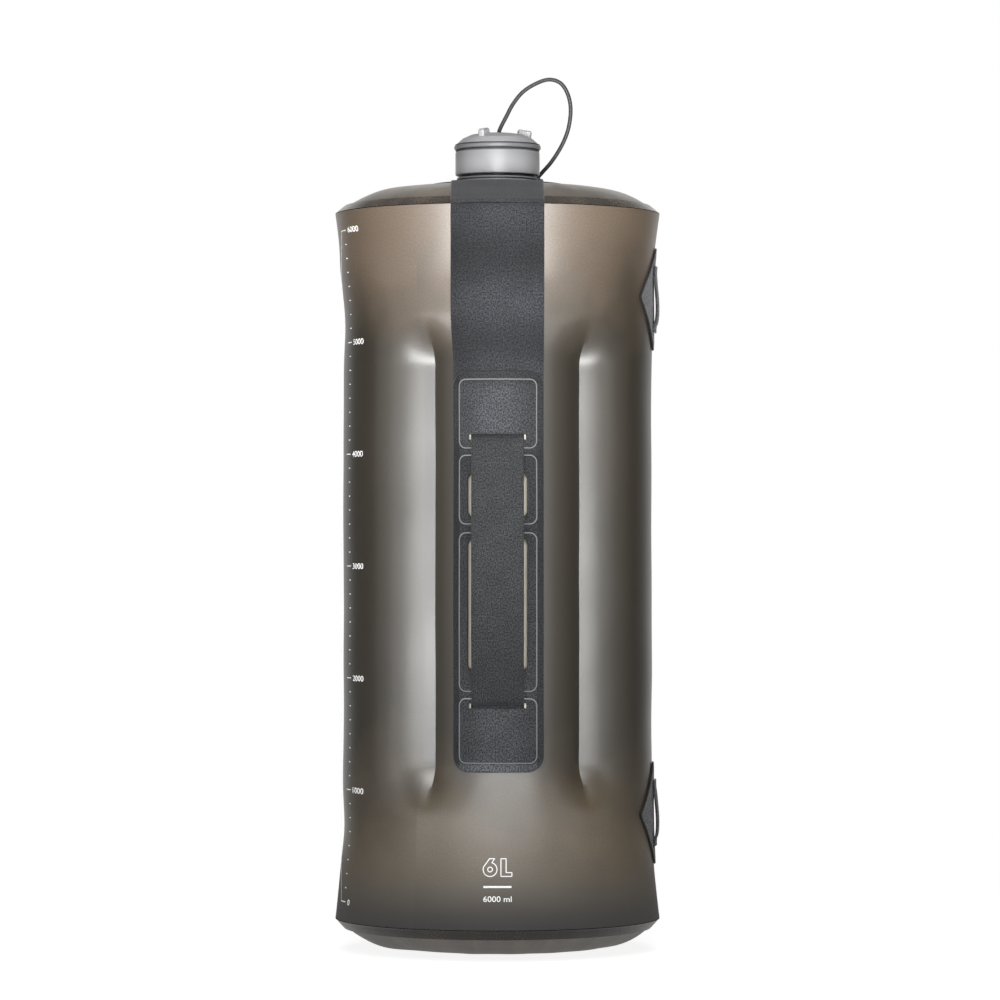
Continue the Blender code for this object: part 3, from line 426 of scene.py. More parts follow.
def film_material(name, foot, middle, head, roughness, grain_height, ior=1.7, level=1.0, smudge=0.0):
    material, net, shader = new_material(name, IOR=ior, Specular_IOR_Level=level)
    flat = surface_uv(net)
    up = net.split(flat)[1]
    grain = use_group(net, "fine_grain", {"Flat": flat, "Size": 0.9 * MM})
    cloud = net.math("SUBTRACT", grain["Cloud"], 0.5)
    height = net.math("ADD", up, net.times(cloud, 0.07))
    # Painted light: the foot and head colours are paler than the middle one, as if lit through the ends.
    colour = net.mix(net.ramp(height, *FOOT_REACH), foot, middle)
    colour = net.mix(net.ramp(height, *HEAD_REACH), colour, head)
    rough = net.ramp(grain["Grain"], 0.2, 0.8, roughness - 0.04, roughness + 0.05)
    rough = net.math("ADD", rough, net.times(cloud, 0.05))
    if smudge:
        spot = net.stretch(net.add("ShaderNodeTexCoord").outputs["Object"], 1.0, 1.0, 0.3)
        blot = net.noise(net.vector("NORMALIZE", {0: spot}), 9.0, 2.0)
        tone = net.ramp(blot, 0.38, 0.62, 1 - smudge, 1 + smudge / 2)
        speck = net.ramp(grain["Grain"], 0.3, 0.75, 0.93, 1.08)
    else:
        # Painted shade: the colour falls nearly to black at the hem.
        tone = net.ramp(up, *HEM_REACH, 0.02, 1.0)
        speck = net.ramp(grain["Grain"], 0.3, 0.75, 0.8, 1.22)
        rough = net.math("ADD", rough, net.ramp(up, *HEM_REACH, 0.5, 0.0))
    net.feed(shader.inputs["Base Color"], net.scale(colour, net.times(speck, tone)))
    net.feed(shader.inputs["Roughness"], rough)
    bump(net, shader, grain["Grain"], 0.35, grain_height)
    return material


# Painted light: the wall's foot and head colours are paler than its middle.
film = film_material("film", srgb(126, 110, 86), srgb(51, 45, 33), srgb(108, 93, 77), 0.38, 0.08 * MM)
weld_tint = srgb(52, 48, 41)
weld_strip = film_material("film_weld", weld_tint, srgb(42, 39, 34), weld_tint, 0.34, 0.03 * MM)
# Painted light: the top panel and the top band take a paler head colour, as if lit from above.
dome_tint = srgb(92, 80, 66)
dome_film = film_material(
    "film_dome", dome_tint, dome_tint, srgb(150, 141, 129), 0.34, 0.03 * MM, smudge=0.28)
band_tint = srgb(50, 42, 34)
band_film = film_material(
    "film_band", band_tint, band_tint, srgb(134, 123, 112), 0.26, 0.02 * MM, 1.5, 0.5, smudge=0.25)
# Painted light: the film seen in the windows and slots is pale, as lit film.
lit_window_film = film_material("lit_film_window", *[srgb(178, 171, 158)] * 3, 0.38, 0.03 * MM, smudge=0.01)
print("film finishes")

# %% [markdown]
# Fabric: the weave gives the relief, and three noises vary the threads, so that it looks spun rather than
# printed. Tones across the strap, the plate and the hand strap are painted light and shade, for soft folds
# too shallow to model and for how the light falls on each. Points on a piece may hold the values press and
# rim, for a pale pressed line and a dark cut edge.

# %% Fabric finishes
BAND_PITCH = 41 * MM
BAND_PHASE = 131 * MM


def fabric_material(name, dark, light, pitch, weave_depth, sheen, tone=None):
    material, net, shader = new_material(
        name, Roughness=0.82, IOR=1.4, Sheen_Weight=sheen, Sheen_Roughness=0.45)
    flat = surface_uv(net)
    weave = use_group(net, "plain_weave", {"Flat": flat, "Pitch": pitch})
    colour = net.mix(net.ramp(weave["Height"], 0.1, 0.95), dark, light)
    speck = net.times(
        net.ramp(weave["Thread"], 0.25, 0.75, 0.72, 1.3), net.ramp(weave["Tint"], 0.3, 0.7, 0.9, 1.1),
        net.ramp(weave["Heather"], 0.37, 0.63, 0.3, 1.85), *([tone(net, net.split(flat))] if tone else []),
    )
    press, rim = [net.add("ShaderNodeAttribute", attribute_name=value).outputs["Fac"]
                  for value in ("press", "rim")]
    colour = net.mix(press, net.scale(colour, speck), srgb(178, 180, 184))
    net.feed(shader.inputs["Base Color"], net.mix(rim, colour, srgb(16, 16, 18)))
    net.feed(shader.inputs["Roughness"], net.ramp(weave["Thread"], 0.2, 0.8, 0.72, 0.92))
    bump(net, shader, weave["Height"], 0.6, weave_depth)
    return material


def strap_light_and_shade(net, place):
    """Painted light and shade: pale and dark bands across the strap, one pair each pitch, where it is free
    above the plate, and darker towards the top and the left edge.
    """
    turn = net.times(net.math("SUBTRACT", place[1], BAND_PHASE), math.tau / BAND_PITCH)
    bands = net.math("MULTIPLY_ADD", net.math("COSINE", turn), 0.3, 0.98)
    slope = net.ramp(place[1], 110 * MM, 165 * MM, 1.12, 0.78)
    return net.times(bands, slope, net.ramp(place[0], -22 * MM, -2 * MM, 0.68, 1.0))


def plate_light_and_shade(net, place):
    """Painted light and shade: palest in the middle and at the lower edge, darker towards the top, at the
    left edge and outside the panels.
    """
    off = net.math("ABSOLUTE", place[0])
    across = [(3, 18, 1.3, 0.88), (18.6, 19.6, 1.0, 0.64)]
    along = [(-80, 40, 0.9, 0.6), (55, 66, 1.0, 1.5), (-94.5, -92, 1.9, 1.0), (86, 96, 1.0, 0.5)]
    steps = [(off, step) for step in across] + [(place[0], (-20, -18.5, 0.7, 1.0))]
    steps += [(place[1], step) for step in along]
    return net.times(*[net.ramp(way, low * MM, high * MM, *tones) for way, (low, high, *tones) in steps])


# Painted shade: the hand strap is darker towards its lower end, which faces down.
def hand_strap_shade(net, place):
    return net.ramp(place[1], 0.0, 70 * MM, 0.68, 0.86)


webbing = fabric_material("webbing", srgb(28, 29, 32), srgb(52, 53, 57), 0.55 * MM, 0.10 * MM, 0.25)
# Painted light and shade: bands across the strap, darker towards its top and left edge.
strap_webbing = fabric_material(
    "strap_webbing", srgb(27, 28, 31), srgb(51, 52, 56), 0.55 * MM, 0.10 * MM, 0.25, strap_light_and_shade)
hand_webbing = fabric_material(
    "hand_webbing", srgb(35, 37, 38), srgb(61, 63, 65), 0.5 * MM, 0.07 * MM, 0.2, hand_strap_shade)
handle_skin = fabric_material(
    "handle_skin", srgb(39, 41, 43), srgb(66, 68, 71), 0.55 * MM, 0.06 * MM, 0.3, plate_light_and_shade)
lash_fabric = fabric_material("lash_fabric", srgb(58, 58, 61), srgb(92, 92, 95), 0.7 * MM, 0.10 * MM, 0.25)
print("fabric finishes")

# %% [markdown]
# Rubber and moulded plastic: a slow cloud shifts the grey and a fine grain breaks the gloss. The cap and neck
# are made of flat facets in the CAD, so their normals are rounded here.

# %% Rubber and plastic finishes
SKIRT_LOW_Z = 388 * MM
SKIRT_FADE = 11 * MM


def turned_normal(net, spot):
    """Normal of a piece made of flat facets round its own Z, as if it were truly round."""
    def turn(normal, start, end):
        spaces = {"convert_from": start, "convert_to": end}
        return net.add("ShaderNodeVectorTransform", {0: normal}, vector_type="NORMAL", **spaces).outputs[0]

    facing = turn(net.add("ShaderNodeNewGeometry").outputs["Normal"], "WORLD", "OBJECT")
    rounded = use_group(net, "turned_normal", {"Place": spot, "Facing": facing})["Normal"]
    return turn(rounded, "OBJECT", "WORLD")


def moulded_material(name, dark, light, roughness, grain, fade=None, turned=False, **constants):
    """Moulded plastic; fade gives two heights in the piece's own frame and the painted tone at each: light
    and shade painted into the colour.
    """
    material, net, shader = new_material(name, **constants)
    spot = net.add("ShaderNodeTexCoord").outputs["Object"]
    parts = use_group(net, "fine_grain", {"Flat": spot, "Size": grain})
    colour = net.mix(net.ramp(parts["Cloud"], 0.3, 0.7), dark, light)
    if fade:
        colour = net.scale(colour, net.ramp(net.split(spot)[2], *fade))
    net.feed(shader.inputs["Base Color"], colour)
    rough = net.ramp(parts["Grain"], 0.2, 0.8, roughness - 0.05, roughness + 0.08)
    net.feed(shader.inputs["Roughness"], rough)
    bump(net, shader, parts["Grain"], 0.3, 0.02 * MM, turned_normal(net, spot) if turned else None)
    return material


neck_plastic = moulded_material(
    "neck_plastic", srgb(36, 36, 40), srgb(46, 46, 50), 0.3, 0.4 * MM, turned=True)
tether_rubber = moulded_material("tether_rubber", srgb(44, 44, 46), srgb(56, 56, 58), 0.45, 0.4 * MM)
cap_grey = moulded_material(
    "cap_grey", srgb(160, 160, 162), srgb(170, 170, 172), 0.46, 0.5 * MM, turned=True, Metallic=0.15)
cap_bright = moulded_material(
    "cap_bright", srgb(118, 118, 120), srgb(128, 128, 130), 0.36, 0.5 * MM, turned=True, Metallic=0.35)
skirt_low = SKIRT_LOW_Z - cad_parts["cap_body"].matrix_world.translation.z
# Painted light and shade: the skirt is paler towards its lower edge and darker towards the top.
cap_pale = moulded_material(
    "cap_pale", srgb(204, 204, 206), srgb(214, 214, 216), 0.36, 0.5 * MM,
    (skirt_low, skirt_low + SKIRT_FADE, 0.82, 0.44), turned=True, Metallic=0.2)
gasket_white = moulded_material("gasket_silicone", srgb(196, 196, 194), srgb(210, 210, 208), 0.5, 0.5 * MM)
# The ink glows faintly: painted light, so that it reads whiter.
glowing_print_ink = moulded_material(
    "glowing_print_ink", srgb(236, 236, 234), srgb(248, 248, 246), 0.6, 0.3 * MM,
    Emission_Color=(1, 1, 1, 1), Emission_Strength=0.3)
print("materials", len(bpy.data.materials))

# %% [markdown]
# The tether is a 2 mm rubber-coated cord. It leaves the button in the cap, loops over to the right and
# ends in the ear of the rubber ring. Its points repeat those of the CAD part, so it lies where that does.

# %% Tether cord
CORD_ROUTE = [
    (0.0009, 0.0000, 0.4086), (0.0009, 0.0000, 0.4098), (0.0022, 0.0003, 0.4128), (0.0044, 0.0008, 0.4170),
    (0.0076, 0.0015, 0.4231), (0.0124, 0.0024, 0.4292), (0.0187, 0.0034, 0.4335), (0.0256, 0.0044, 0.4359),
    (0.0316, 0.0054, 0.4342), (0.0353, 0.0064, 0.4286), (0.0367, 0.0074, 0.4211), (0.0356, 0.0085, 0.4119),
    (0.0324, 0.0097, 0.4036), (0.0273, 0.0110, 0.3955), (0.0224, 0.0121, 0.3899), (0.0206, 0.0124, 0.3878),
    (0.0206, 0.0124, 0.3868),
]
CORD_DIAMETER = 2.0 * MM
cord_points = smooth_points(CORD_ROUTE, 6)
cord = tube("tether", cord_points, CORD_DIAMETER / 2, tether_rubber)
cord_length = lengths_along(cord_points)[-1]
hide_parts("tether_cord")
tuple(CORD_ROUTE[0])
[tuple(point) for point in cord_points]
tuple(CORD_ROUTE[0])
tuple(CORD_ROUTE[-1])
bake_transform(cord)
print("cord length", round(cord_length, 4))

# %% [markdown]
# The wall is film wrapped to a tube. It flares to both rims, where it is welded to the end panels, and two
# inner webs draw it in along four creases. The camera sees the front pair, left and right of the strap.
# A formula for its radius suits this better than a simulation: every other piece can lie on the same skin.

# %% Shape of the wall
WAIST_RADIUS = 77.0 * MM
RIM_FLARE = 4.0 * MM
BOTTOM_RIM_Z = 16.6 * MM
TOP_RIM_Z = 368.0 * MM
RIM_RADIUS = WAIST_RADIUS + RIM_FLARE
PANEL_RADIUS = RIM_RADIUS - 1.4 * MM
FILM = 0.6 * MM
GAP = 0.3 * MM
BAFFLE_LOW = 96.1 * MM
BAFFLE_HIGH = 290.1 * MM
CREASE_DEPTH = 10.0 * MM
CREASE_REACH = 35.0 * MM
CREASE_RUNOUT = 26.0 * MM
TOP_FLARE = 36 * MM
BOTTOM_FLARE = 62 * MM
FOLD_RADIUS = WAIST_RADIUS - CREASE_DEPTH
LEFT_FOLD = -30.2 * MM
RIGHT_FOLD = 39.9 * MM
WELD_WIDTH = 4.3 * MM
STILL_EDGE = 20 * MM
WAVE = 0.45 * MM
BUCKLES = [(-0.9 * MM, 312 * MM, 13 * MM), (0.7 * MM, 338 * MM, 10 * MM), (-0.7 * MM, 62 * MM, 12 * MM)]


def smooth_share(value):
    share = min(max(value, 0.0), 1.0)
    return share * share * (3 - 2 * share)


def wall_radius(z):
    top = max(1 - max(TOP_RIM_Z - z, 0.0) / TOP_FLARE, 0.0) ** 1.2
    bottom = max(1 - max(z - BOTTOM_RIM_Z, 0.0) / BOTTOM_FLARE, 0.0) ** 2
    return WAIST_RADIUS + RIM_FLARE * (top + bottom)


def fold_azimuth(x, rear):
    angle = math.asin(x / FOLD_RADIUS)
    return math.pi - angle if rear else angle


FOLDS = [fold_azimuth(x, rear) for rear in (False, True) for x in (LEFT_FOLD, RIGHT_FOLD)]


def turn_between(first, second):
    return abs((first - second + math.pi) % math.tau - math.pi)


def crease_depth(azimuth, z):
    distance = min(turn_between(azimuth, fold) for fold in FOLDS) * WAIST_RADIUS
    across = max(1 - distance / CREASE_REACH, 0.0) ** 2
    rise = smooth_share((z - BAFFLE_LOW + CREASE_RUNOUT) / CREASE_RUNOUT)
    fall = smooth_share((BAFFLE_HIGH + CREASE_RUNOUT - z) / CREASE_RUNOUT)
    return CREASE_DEPTH * across * rise * fall


def bell(value, middle, width):
    return math.exp(-((value - middle) / width) ** 2)


def film_waves(azimuth, z):
    """Soft unevenness of the film: still at both rims, with buckles on the left near both ends."""
    free = smooth_share((z - BOTTOM_RIM_Z) / STILL_EDGE) * smooth_share((TOP_RIM_Z - z) / STILL_EDGE)
    spot = Vector((math.sin(azimuth), math.cos(azimuth), z / (60 * MM)))
    left = bell(turn_between(azimuth, -math.pi / 2), 0, 0.5)
    buckle = sum(depth * bell(z, middle, width) for depth, middle, width in BUCKLES)
    return (WAVE * noise.noise(spot * 1.7) + left * buckle) * free


def skin(azimuth, z, lift=0.0):
    radius = wall_radius(z) - crease_depth(azimuth, z) + film_waves(azimuth, z) + lift
    return Vector((radius * math.sin(azimuth), -radius * math.cos(azimuth), z))


def on_wall(middle_azimuth, middle_z, lift):
    def place(u, v, w):
        z = middle_z + v
        spread = math.asin(u / (wall_radius(z) + lift + w))
        return skin(middle_azimuth + spread, z, lift + w)
    return place


def split_evenly(marks, spacing):
    """Marks with even steps between them, none longer than the spacing."""
    result = []
    for low, high in zip(marks, marks[1:]):
        count = max(1, math.ceil((high - low) / spacing))
        result += [low + (high - low) * step / count for step in range(count)]
    return result + [marks[-1]]


def stand_for(item, body, slot, *nodes):
    """Ride on a body in place of its nodes, if any."""
    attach(item, body)
    if nodes:
        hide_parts(*nodes)


def follow_bag(item, slot, *nodes):
    """Ride on the bag in place of its nodes, if any, with a mesh of its own."""
    stand_for(item, "bag", slot, *nodes)
    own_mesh(item)


print("folds at x", LEFT_FOLD, RIGHT_FOLD)

# %% [markdown]
# The wall is two skins, out and back, joined at the rims. Columns of its points stand exactly on the edges
# of the weld lines, so that the strips between them can take the weld finish.

# %% Film wall


def make_wall():
    weld_turn = WELD_WIDTH / FOLD_RADIUS
    marks = sorted([fold - weld_turn for fold in FOLDS] + FOLDS)
    azimuths = split_evenly(marks + [marks[0] + math.tau], 2.2 * MM / WAIST_RADIUS)[:-1]
    low = BOTTOM_RIM_Z + GAP
    high = TOP_RIM_Z - GAP
    heights = split_evenly([low, BAFFLE_LOW, BAFFLE_HIGH, high], 2.4 * MM)
    build = bmesh.new()
    flat = build.loops.layers.uv.new("flat")
    outer = [[build.verts.new(skin(a, z)) for a in azimuths] for z in heights]
    inner = [[build.verts.new(skin(a, z, -FILM)) for a in azimuths] for z in heights]
    rings = outer + inner[::-1]
    levels = heights + heights[::-1]
    turns = azimuths + [azimuths[0] + math.tau]
    for face, row, index in join_rings(build, rings):
        start, end = turns[index:index + 2]
        below, above = levels[row], levels[(row + 1) % len(rings)]
        left, right = start * WAIST_RADIUS, end * WAIST_RADIUS
        map_face(face, flat, [(left, below), (right, below), (right, above), (left, above)])
        on_weld = any(0 < (fold - (start + end) / 2) % math.tau < weld_turn for fold in FOLDS)
        if on_weld and BAFFLE_LOW < (below + above) / 2 < BAFFLE_HIGH:
            face.material_index = 1
    return mesh_object("film_wall", build, [film, weld_strip], 35)


wall = make_wall()
follow_bag(wall, "smoke_film", "wall_sheet")
print("wall faces", len(wall.data.polygons))

# %% [markdown]
# The two end panels are round domed films with a glossy weld band round each edge. Small puckers run in
# from the weld, because flat film is pulled to a dome there.

# %% End panels
# Height, power of the curve, direction and rim height of each.
DOMES = {"top": (13.4 * MM, 5.5, 1, TOP_RIM_Z), "bottom": (14.4 * MM, 7.0, -1, BOTTOM_RIM_Z)}
BAND_WIDTH = 3.7 * MM
NECK_HOLE = 18.3 * MM
BASE_HOLE = 0.5 * MM
PUCKER_START = 45 * MM
PUCKER_RUN = 30 * MM
PUCKER_LENGTH = 40 * MM
TURN_STEPS = 220


def dome_point(radius, height, power, lift):
    slope = height * power / PANEL_RADIUS * (radius / PANEL_RADIUS) ** (power - 1)
    length = math.hypot(slope, 1)
    return (radius + lift * slope / length, height * (1 - (radius / PANEL_RADIUS) ** power) + lift / length)


def pucker(azimuth, radius, amount):
    near_rim = smooth_share((radius - PUCKER_START) / PUCKER_RUN)
    ring = Vector((math.cos(azimuth) * 3.4, math.sin(azimuth) * 3.4, radius / PUCKER_LENGTH))
    return amount * near_rim * noise.noise(ring)


def turned_film(name, end, radii, inner_lift, outer_lift, amount, material, lip=()):
    """Film turned about Z: out on one face, over the lip's own points, and back on the other."""
    height, power, up, rim_z = DOMES[end]
    build = bmesh.new()
    flat = build.loops.layers.uv.new("flat")
    angles = [math.tau * step / TURN_STEPS for step in range(TURN_STEPS)]
    path = [(radius, outer_lift) for radius in radii] + list(lip)
    path += [(radius, inner_lift) for radius in radii[::-1]]
    rings = []
    for radius, lift in path:
        ring = []
        for angle in angles:
            if lift is None:
                reach, rise = radius
            else:
                reach, rise = dome_point(radius, height, power, lift)
                rise += pucker(angle, radius, amount) * (PANEL_RADIUS - radius) / PANEL_RADIUS * 5
            spot = (reach * math.cos(angle), reach * math.sin(angle), rim_z + up * rise)
            ring.append(build.verts.new(spot))
        rings.append(ring)
    for face, _, _ in join_rings(build, rings):
        for loop in face.loops:
            loop[flat].uv = (loop.vert.co.x, loop.vert.co.y + TOP_RIM_Z * (end == "top"))
    return mesh_object(name, build, material, 50)


PANELS = (("top", "crown", NECK_HOLE, 1.0 * MM), ("bottom", "bag", BASE_HOLE, 1.6 * MM))
for end, body, hole, amount in PANELS:
    radii = split_evenly([hole, 60 * MM, 74 * MM, PANEL_RADIUS], 2.0 * MM)
    panel = turned_film(f"film_{end}", end, radii, -FILM, 0.0, amount, dome_film)
    stand_for(panel, body, "smoke_film", f"{end}_panel")
band_radii = split_evenly([PANEL_RADIUS - BAND_WIDTH, PANEL_RADIUS], 0.8 * MM)
band_lip = [((RIM_RADIUS, 0.0), None), ((RIM_RADIUS - FILM, 0.0), None)]
for end, body in (("top", "crown"), ("bottom", "bag")):
    band = turned_film(f"weld_band_{end}", end, band_radii, GAP, GAP + FILM, 0.0, band_film, band_lip)
    stand_for(band, body, "weld_film", f"{end}_rim_band")
print("end panels and bands")

# %% [markdown]
# Flat goods such as webbing, patches and the handle plate are cut as outlines, filled with a fine mesh
# and bent onto what they lie on. The outlines come first.

# %% Outlines


def arc(centre, radius, start, end, steps):
    angles = [start + (end - start) * step / steps for step in range(steps + 1)]
    return [(centre[0] + radius * math.cos(a), centre[1] + radius * math.sin(a)) for a in angles]


def rounded_loop(width, span, corner, steps=8):
    right = width / 2 - corner
    low, high = span[0] + corner, span[1] - corner
    quarter = math.pi / 2
    loop = []
    for number, centre in enumerate([(right, high), (-right, high), (-right, low), (right, low)]):
        loop += arc(centre, corner, number * quarter, (number + 1) * quarter, steps)
    return loop


def box_loop(half, low, high):
    return [(-half, low), (half, low), (half, high), (-half, high)]


def diamond_loop(half_diagonal, corner, steps=8):
    reach = half_diagonal - corner
    loop = []
    for turn in range(4):
        angle = turn * math.pi / 2
        centre = (reach * math.cos(angle), reach * math.sin(angle))
        loop += arc(centre, corner, angle - math.pi / 4, angle + math.pi / 4, steps)
    return loop


def fine_loop(loop, spacing):
    """Loop without doubled points and with no step longer than the spacing."""
    points = []
    for (u0, v0), (u1, v1) in zip(loop, loop[1:] + loop[:1]):
        length = math.hypot(u1 - u0, v1 - v0)
        if length < 1e-7:
            continue
        count = max(1, math.ceil(length / spacing))
        points += [(u0 + (u1 - u0) * step / count, v0 + (v1 - v0) * step / count) for step in range(count)]
    return points


def offset_loop(loop, distance):
    """Counter-clockwise loop moved inwards by a small distance."""
    result = []
    for index, (u, v) in enumerate(loop):
        before = loop[index - 1]
        after = loop[(index + 1) % len(loop)]
        du, dv = after[0] - before[0], after[1] - before[1]
        length = math.hypot(du, dv)
        result.append((u - dv / length * distance, v + du / length * distance))
    return result


# %% [markdown]
# Many points are tested against an outline at once, on whole arrays, because a plain loop would be slow.

# %% Points and outlines
BATCH = 2000


def inside(loop, points):
    """Which points lie in a loop, by counting crossings."""
    corners = np.array(loop)
    after = np.roll(corners, -1, axis=0)
    u, v = points[:, :1], points[:, 1:]
    crosses = (corners[:, 1] > v) != (after[:, 1] > v)
    rise = np.where(after[:, 1] == corners[:, 1], 1e-12, after[:, 1] - corners[:, 1])
    at = (after[:, 0] - corners[:, 0]) * (v - corners[:, 1]) / rise + corners[:, 0]
    return (np.sum(crosses & (u < at), axis=1) % 2).astype(bool)


def loop_distance(loop, points):
    """Distance from points to the nearest side of a loop."""
    start = np.array(loop)
    side = np.roll(start, -1, axis=0) - start
    best = np.full(len(points), 1e9)
    for low in range(0, len(points), BATCH):
        some = points[low:low + BATCH, None, :] - start[None]
        share = np.clip(np.sum(some * side, axis=2) / np.maximum(np.sum(side * side, axis=1), 1e-18), 0, 1)
        best[low:low + BATCH] = np.min(np.linalg.norm(some - share[..., None] * side, axis=2), axis=1)
    return best


# %% [markdown]
# A cut sheet is one closed piece: a fine mesh above, the same below and a wall round the rim. A narrow inner
# contour rounds its edges, a relief lifts its face, and a place function bends it onto what it lies on.

# %% Cutting and bending


def fill_points(loops, spacing):
    """Points of a grid inside the first loop, clear of all loops."""
    spots = np.concatenate([np.array(loop) for loop in loops])
    ways = [np.arange(low, high, spacing) for low, high in zip(spots.min(axis=0), spots.max(axis=0))]
    grid = np.array([(u, v) for u in ways[0] for v in ways[1]]) + spacing * 0.37
    gaps = np.min([loop_distance(loop, grid) for loop in loops], axis=0)
    return grid[(gaps > spacing * 0.45) & inside(loops[0], grid)]


def cut_sheet(name, outline, thickness, place, material, holes=(), contours=(), relief=None,
              spacing=2.5 * MM):
    """Cut a sheet, fill it with a fine mesh, round its edges and bend it by a place function."""
    edge = 0.3 * MM
    borders = [fine_loop(outline, spacing)] + [fine_loop(hole, spacing / 2) for hole in holes]
    loops = borders + [offset_loop(borders[0], edge)] + [offset_loop(hole, -edge) for hole in borders[1:]]
    loops += [fine_loop(contour, spacing) for contour in contours]
    points, lines = [], []
    for loop in loops:
        first = len(points)
        points += loop
        lines += [(first + index, first + (index + 1) % len(loop)) for index in range(len(loop))]
    points += [tuple(spot) for spot in fill_points(loops, spacing)]
    verts, _, faces = delaunay_2d_cdt([Vector(p) for p in points], lines, [], 0, 1e-7)[:3]
    flat_points = np.array([tuple(v) for v in verts])
    middles = np.array([flat_points[list(face)].mean(axis=0) for face in faces])
    keep = inside(borders[0], middles)
    for hole in borders[1:]:
        keep &= ~inside(hole, middles)
    faces = [face for face, kept in zip(faces, keep) if kept]
    border = np.min([loop_distance(loop, flat_points) for loop in borders], axis=0)
    top = np.full(len(flat_points), thickness) - (thickness * 0.45) * np.clip(1 - border / edge, 0, 1)
    if relief is not None:
        top = top + relief(flat_points)
    return bend_sheet(name, flat_points, faces, top, place, material)


def bend_sheet(name, flat_points, faces, top, place, material):
    build = bmesh.new()
    flat = build.loops.layers.uv.new("flat")
    used = sorted({index for face in faces for index in face})
    upper = {i: build.verts.new(place(*flat_points[i], top[i])) for i in used}
    lower = {i: build.verts.new(place(*flat_points[i], 0.0)) for i in used}
    sides = dict.fromkeys((a, b) for face in faces for a, b in zip(face, face[1:] + face[:1]))
    rim = [(a, b) for a, b in sides if (b, a) not in sides]
    made = [(build.faces.new([upper[i] for i in face]), face) for face in faces]
    made += [(build.faces.new([lower[i] for i in face[::-1]]), face[::-1]) for face in faces]
    made += [(build.faces.new([upper[a], lower[a], lower[b], upper[b]]), (a, a, b, b)) for a, b in rim]
    for face, spots in made:
        map_face(face, flat, [flat_points[index] for index in spots])
    return mesh_object(name, build, material, 60)


# %% [markdown]
# The strap is a band of black nylon webbing. Its upper end is cut round to ring the neck and runs over the
# rim at the front. It is one flat cut, laid along a route: straight out from the neck, then down.

# %% Yoke of the strap
STRAP_WIDTH = 45.3 * MM
WEBBING = 0.9 * MM
YOKE_RADIUS = 34.3 * MM
RIM_BEND = 2.4 * MM
PLATE_Z = 190.1 * MM
PLATE_HEIGHT = 194.2 * MM
PLATE_CORNER = 8.2 * MM


def yoke_route():
    height, power = DOMES["top"][:2]
    climb_end = PANEL_RADIUS - BAND_WIDTH - FILM
    climb_start = climb_end - 2 * BAND_WIDTH
    over_band = 2 * GAP + FILM
    radii = split_evenly([0.0, climb_start], 2.0 * MM)[:-1]
    radii += split_evenly([climb_start, climb_end], 0.8 * MM) + [PANEL_RADIUS - RIM_BEND / 2]
    stations = []
    for radius in radii:
        climb = smooth_share((radius - climb_start) / (climb_end - climb_start))
        reach, rise = dome_point(radius, height, power, GAP + (over_band - GAP) * climb)
        stations.append(Vector((reach, TOP_RIM_Z + rise)))
    corner = Vector((RIM_RADIUS + GAP, TOP_RIM_Z + RIM_BEND / 2))
    end = Vector((RIM_RADIUS + GAP, TOP_RIM_Z))
    start = stations[-1]
    for step in range(1, 9):
        share = step / 8
        stations.append(start * (1 - share) ** 2 + corner * 2 * share * (1 - share) + end * share ** 2)
    return stations


def route_reader(stations):
    """Length of a route, and a function that gives its point and normal at a distance."""
    lengths = lengths_along(stations)

    def at(distance):
        index = 1
        while index < len(lengths) - 1 and distance > lengths[index]:
            index += 1
        share = (distance - lengths[index - 1]) / (lengths[index] - lengths[index - 1])
        point = stations[index - 1].lerp(stations[index], share)
        before = stations[max(index - 2, 0)].lerp(stations[index - 1], share)
        after = stations[index].lerp(stations[min(index + 1, len(stations) - 1)], share)
        along = (after - before).normalized()
        return point, Vector((-along.y, along.x))
    return lengths[-1], at


def make_yoke():
    length, at = route_reader(yoke_route())

    def place(u, v, w):
        spread = smooth_share((v - YOKE_RADIUS) / (YOKE_RADIUS / 2))
        if spread == 0:
            point, normal = at(math.hypot(u, v))
            flat = point + normal * w
            scale = flat.x / math.hypot(u, v)
            return Vector((u * scale, -v * scale, flat.y))
        radius = at(v)[0].x
        y = radius - (radius - math.sqrt(radius ** 2 - u ** 2)) * spread
        around = math.hypot(u, y)
        point, normal = at(v + around - radius)
        flat = point + normal * w
        return Vector((u * flat.x / around, -y * flat.x / around, flat.y))

    half = STRAP_WIDTH / 2
    join = math.asin(half / YOKE_RADIUS)
    loop = arc((0, 0), YOKE_RADIUS, math.pi / 2 + join, math.pi * 5 / 2 - join, 60)
    loop += [(half, length), (-half, length)]
    hole = arc((0, 0), NECK_HOLE, 0, math.tau * 71 / 72, 71)
    return cut_sheet("strap_top", loop, WEBBING, place, webbing, [hole], spacing=1.8 * MM)


stand_for(make_yoke(), "crown", "webbing", "strap_yoke")
print("yoke")

# %% [markdown]
# Below the rim the strap lies down the wall to just under the handle plate. Between the two it is free and
# ripples a little. It has the plate's two windows.

# %% Strap
FREE_SPAN = (100 * MM, 178 * MM)
RIPPLE = 0.08 * MM
SWELL = 0.3 * MM
WINDOW_WIDTH = 29.6 * MM
WINDOW_SPANS = [(26.2 * MM, 46.9 * MM), (-48.0 * MM, 15.4 * MM)]
WINDOW_CORNER = 2.5 * MM


def window_loops(margin):
    width = WINDOW_WIDTH + 2 * margin
    return [rounded_loop(width, (low - margin, high + margin), WINDOW_CORNER) for low, high in WINDOW_SPANS]


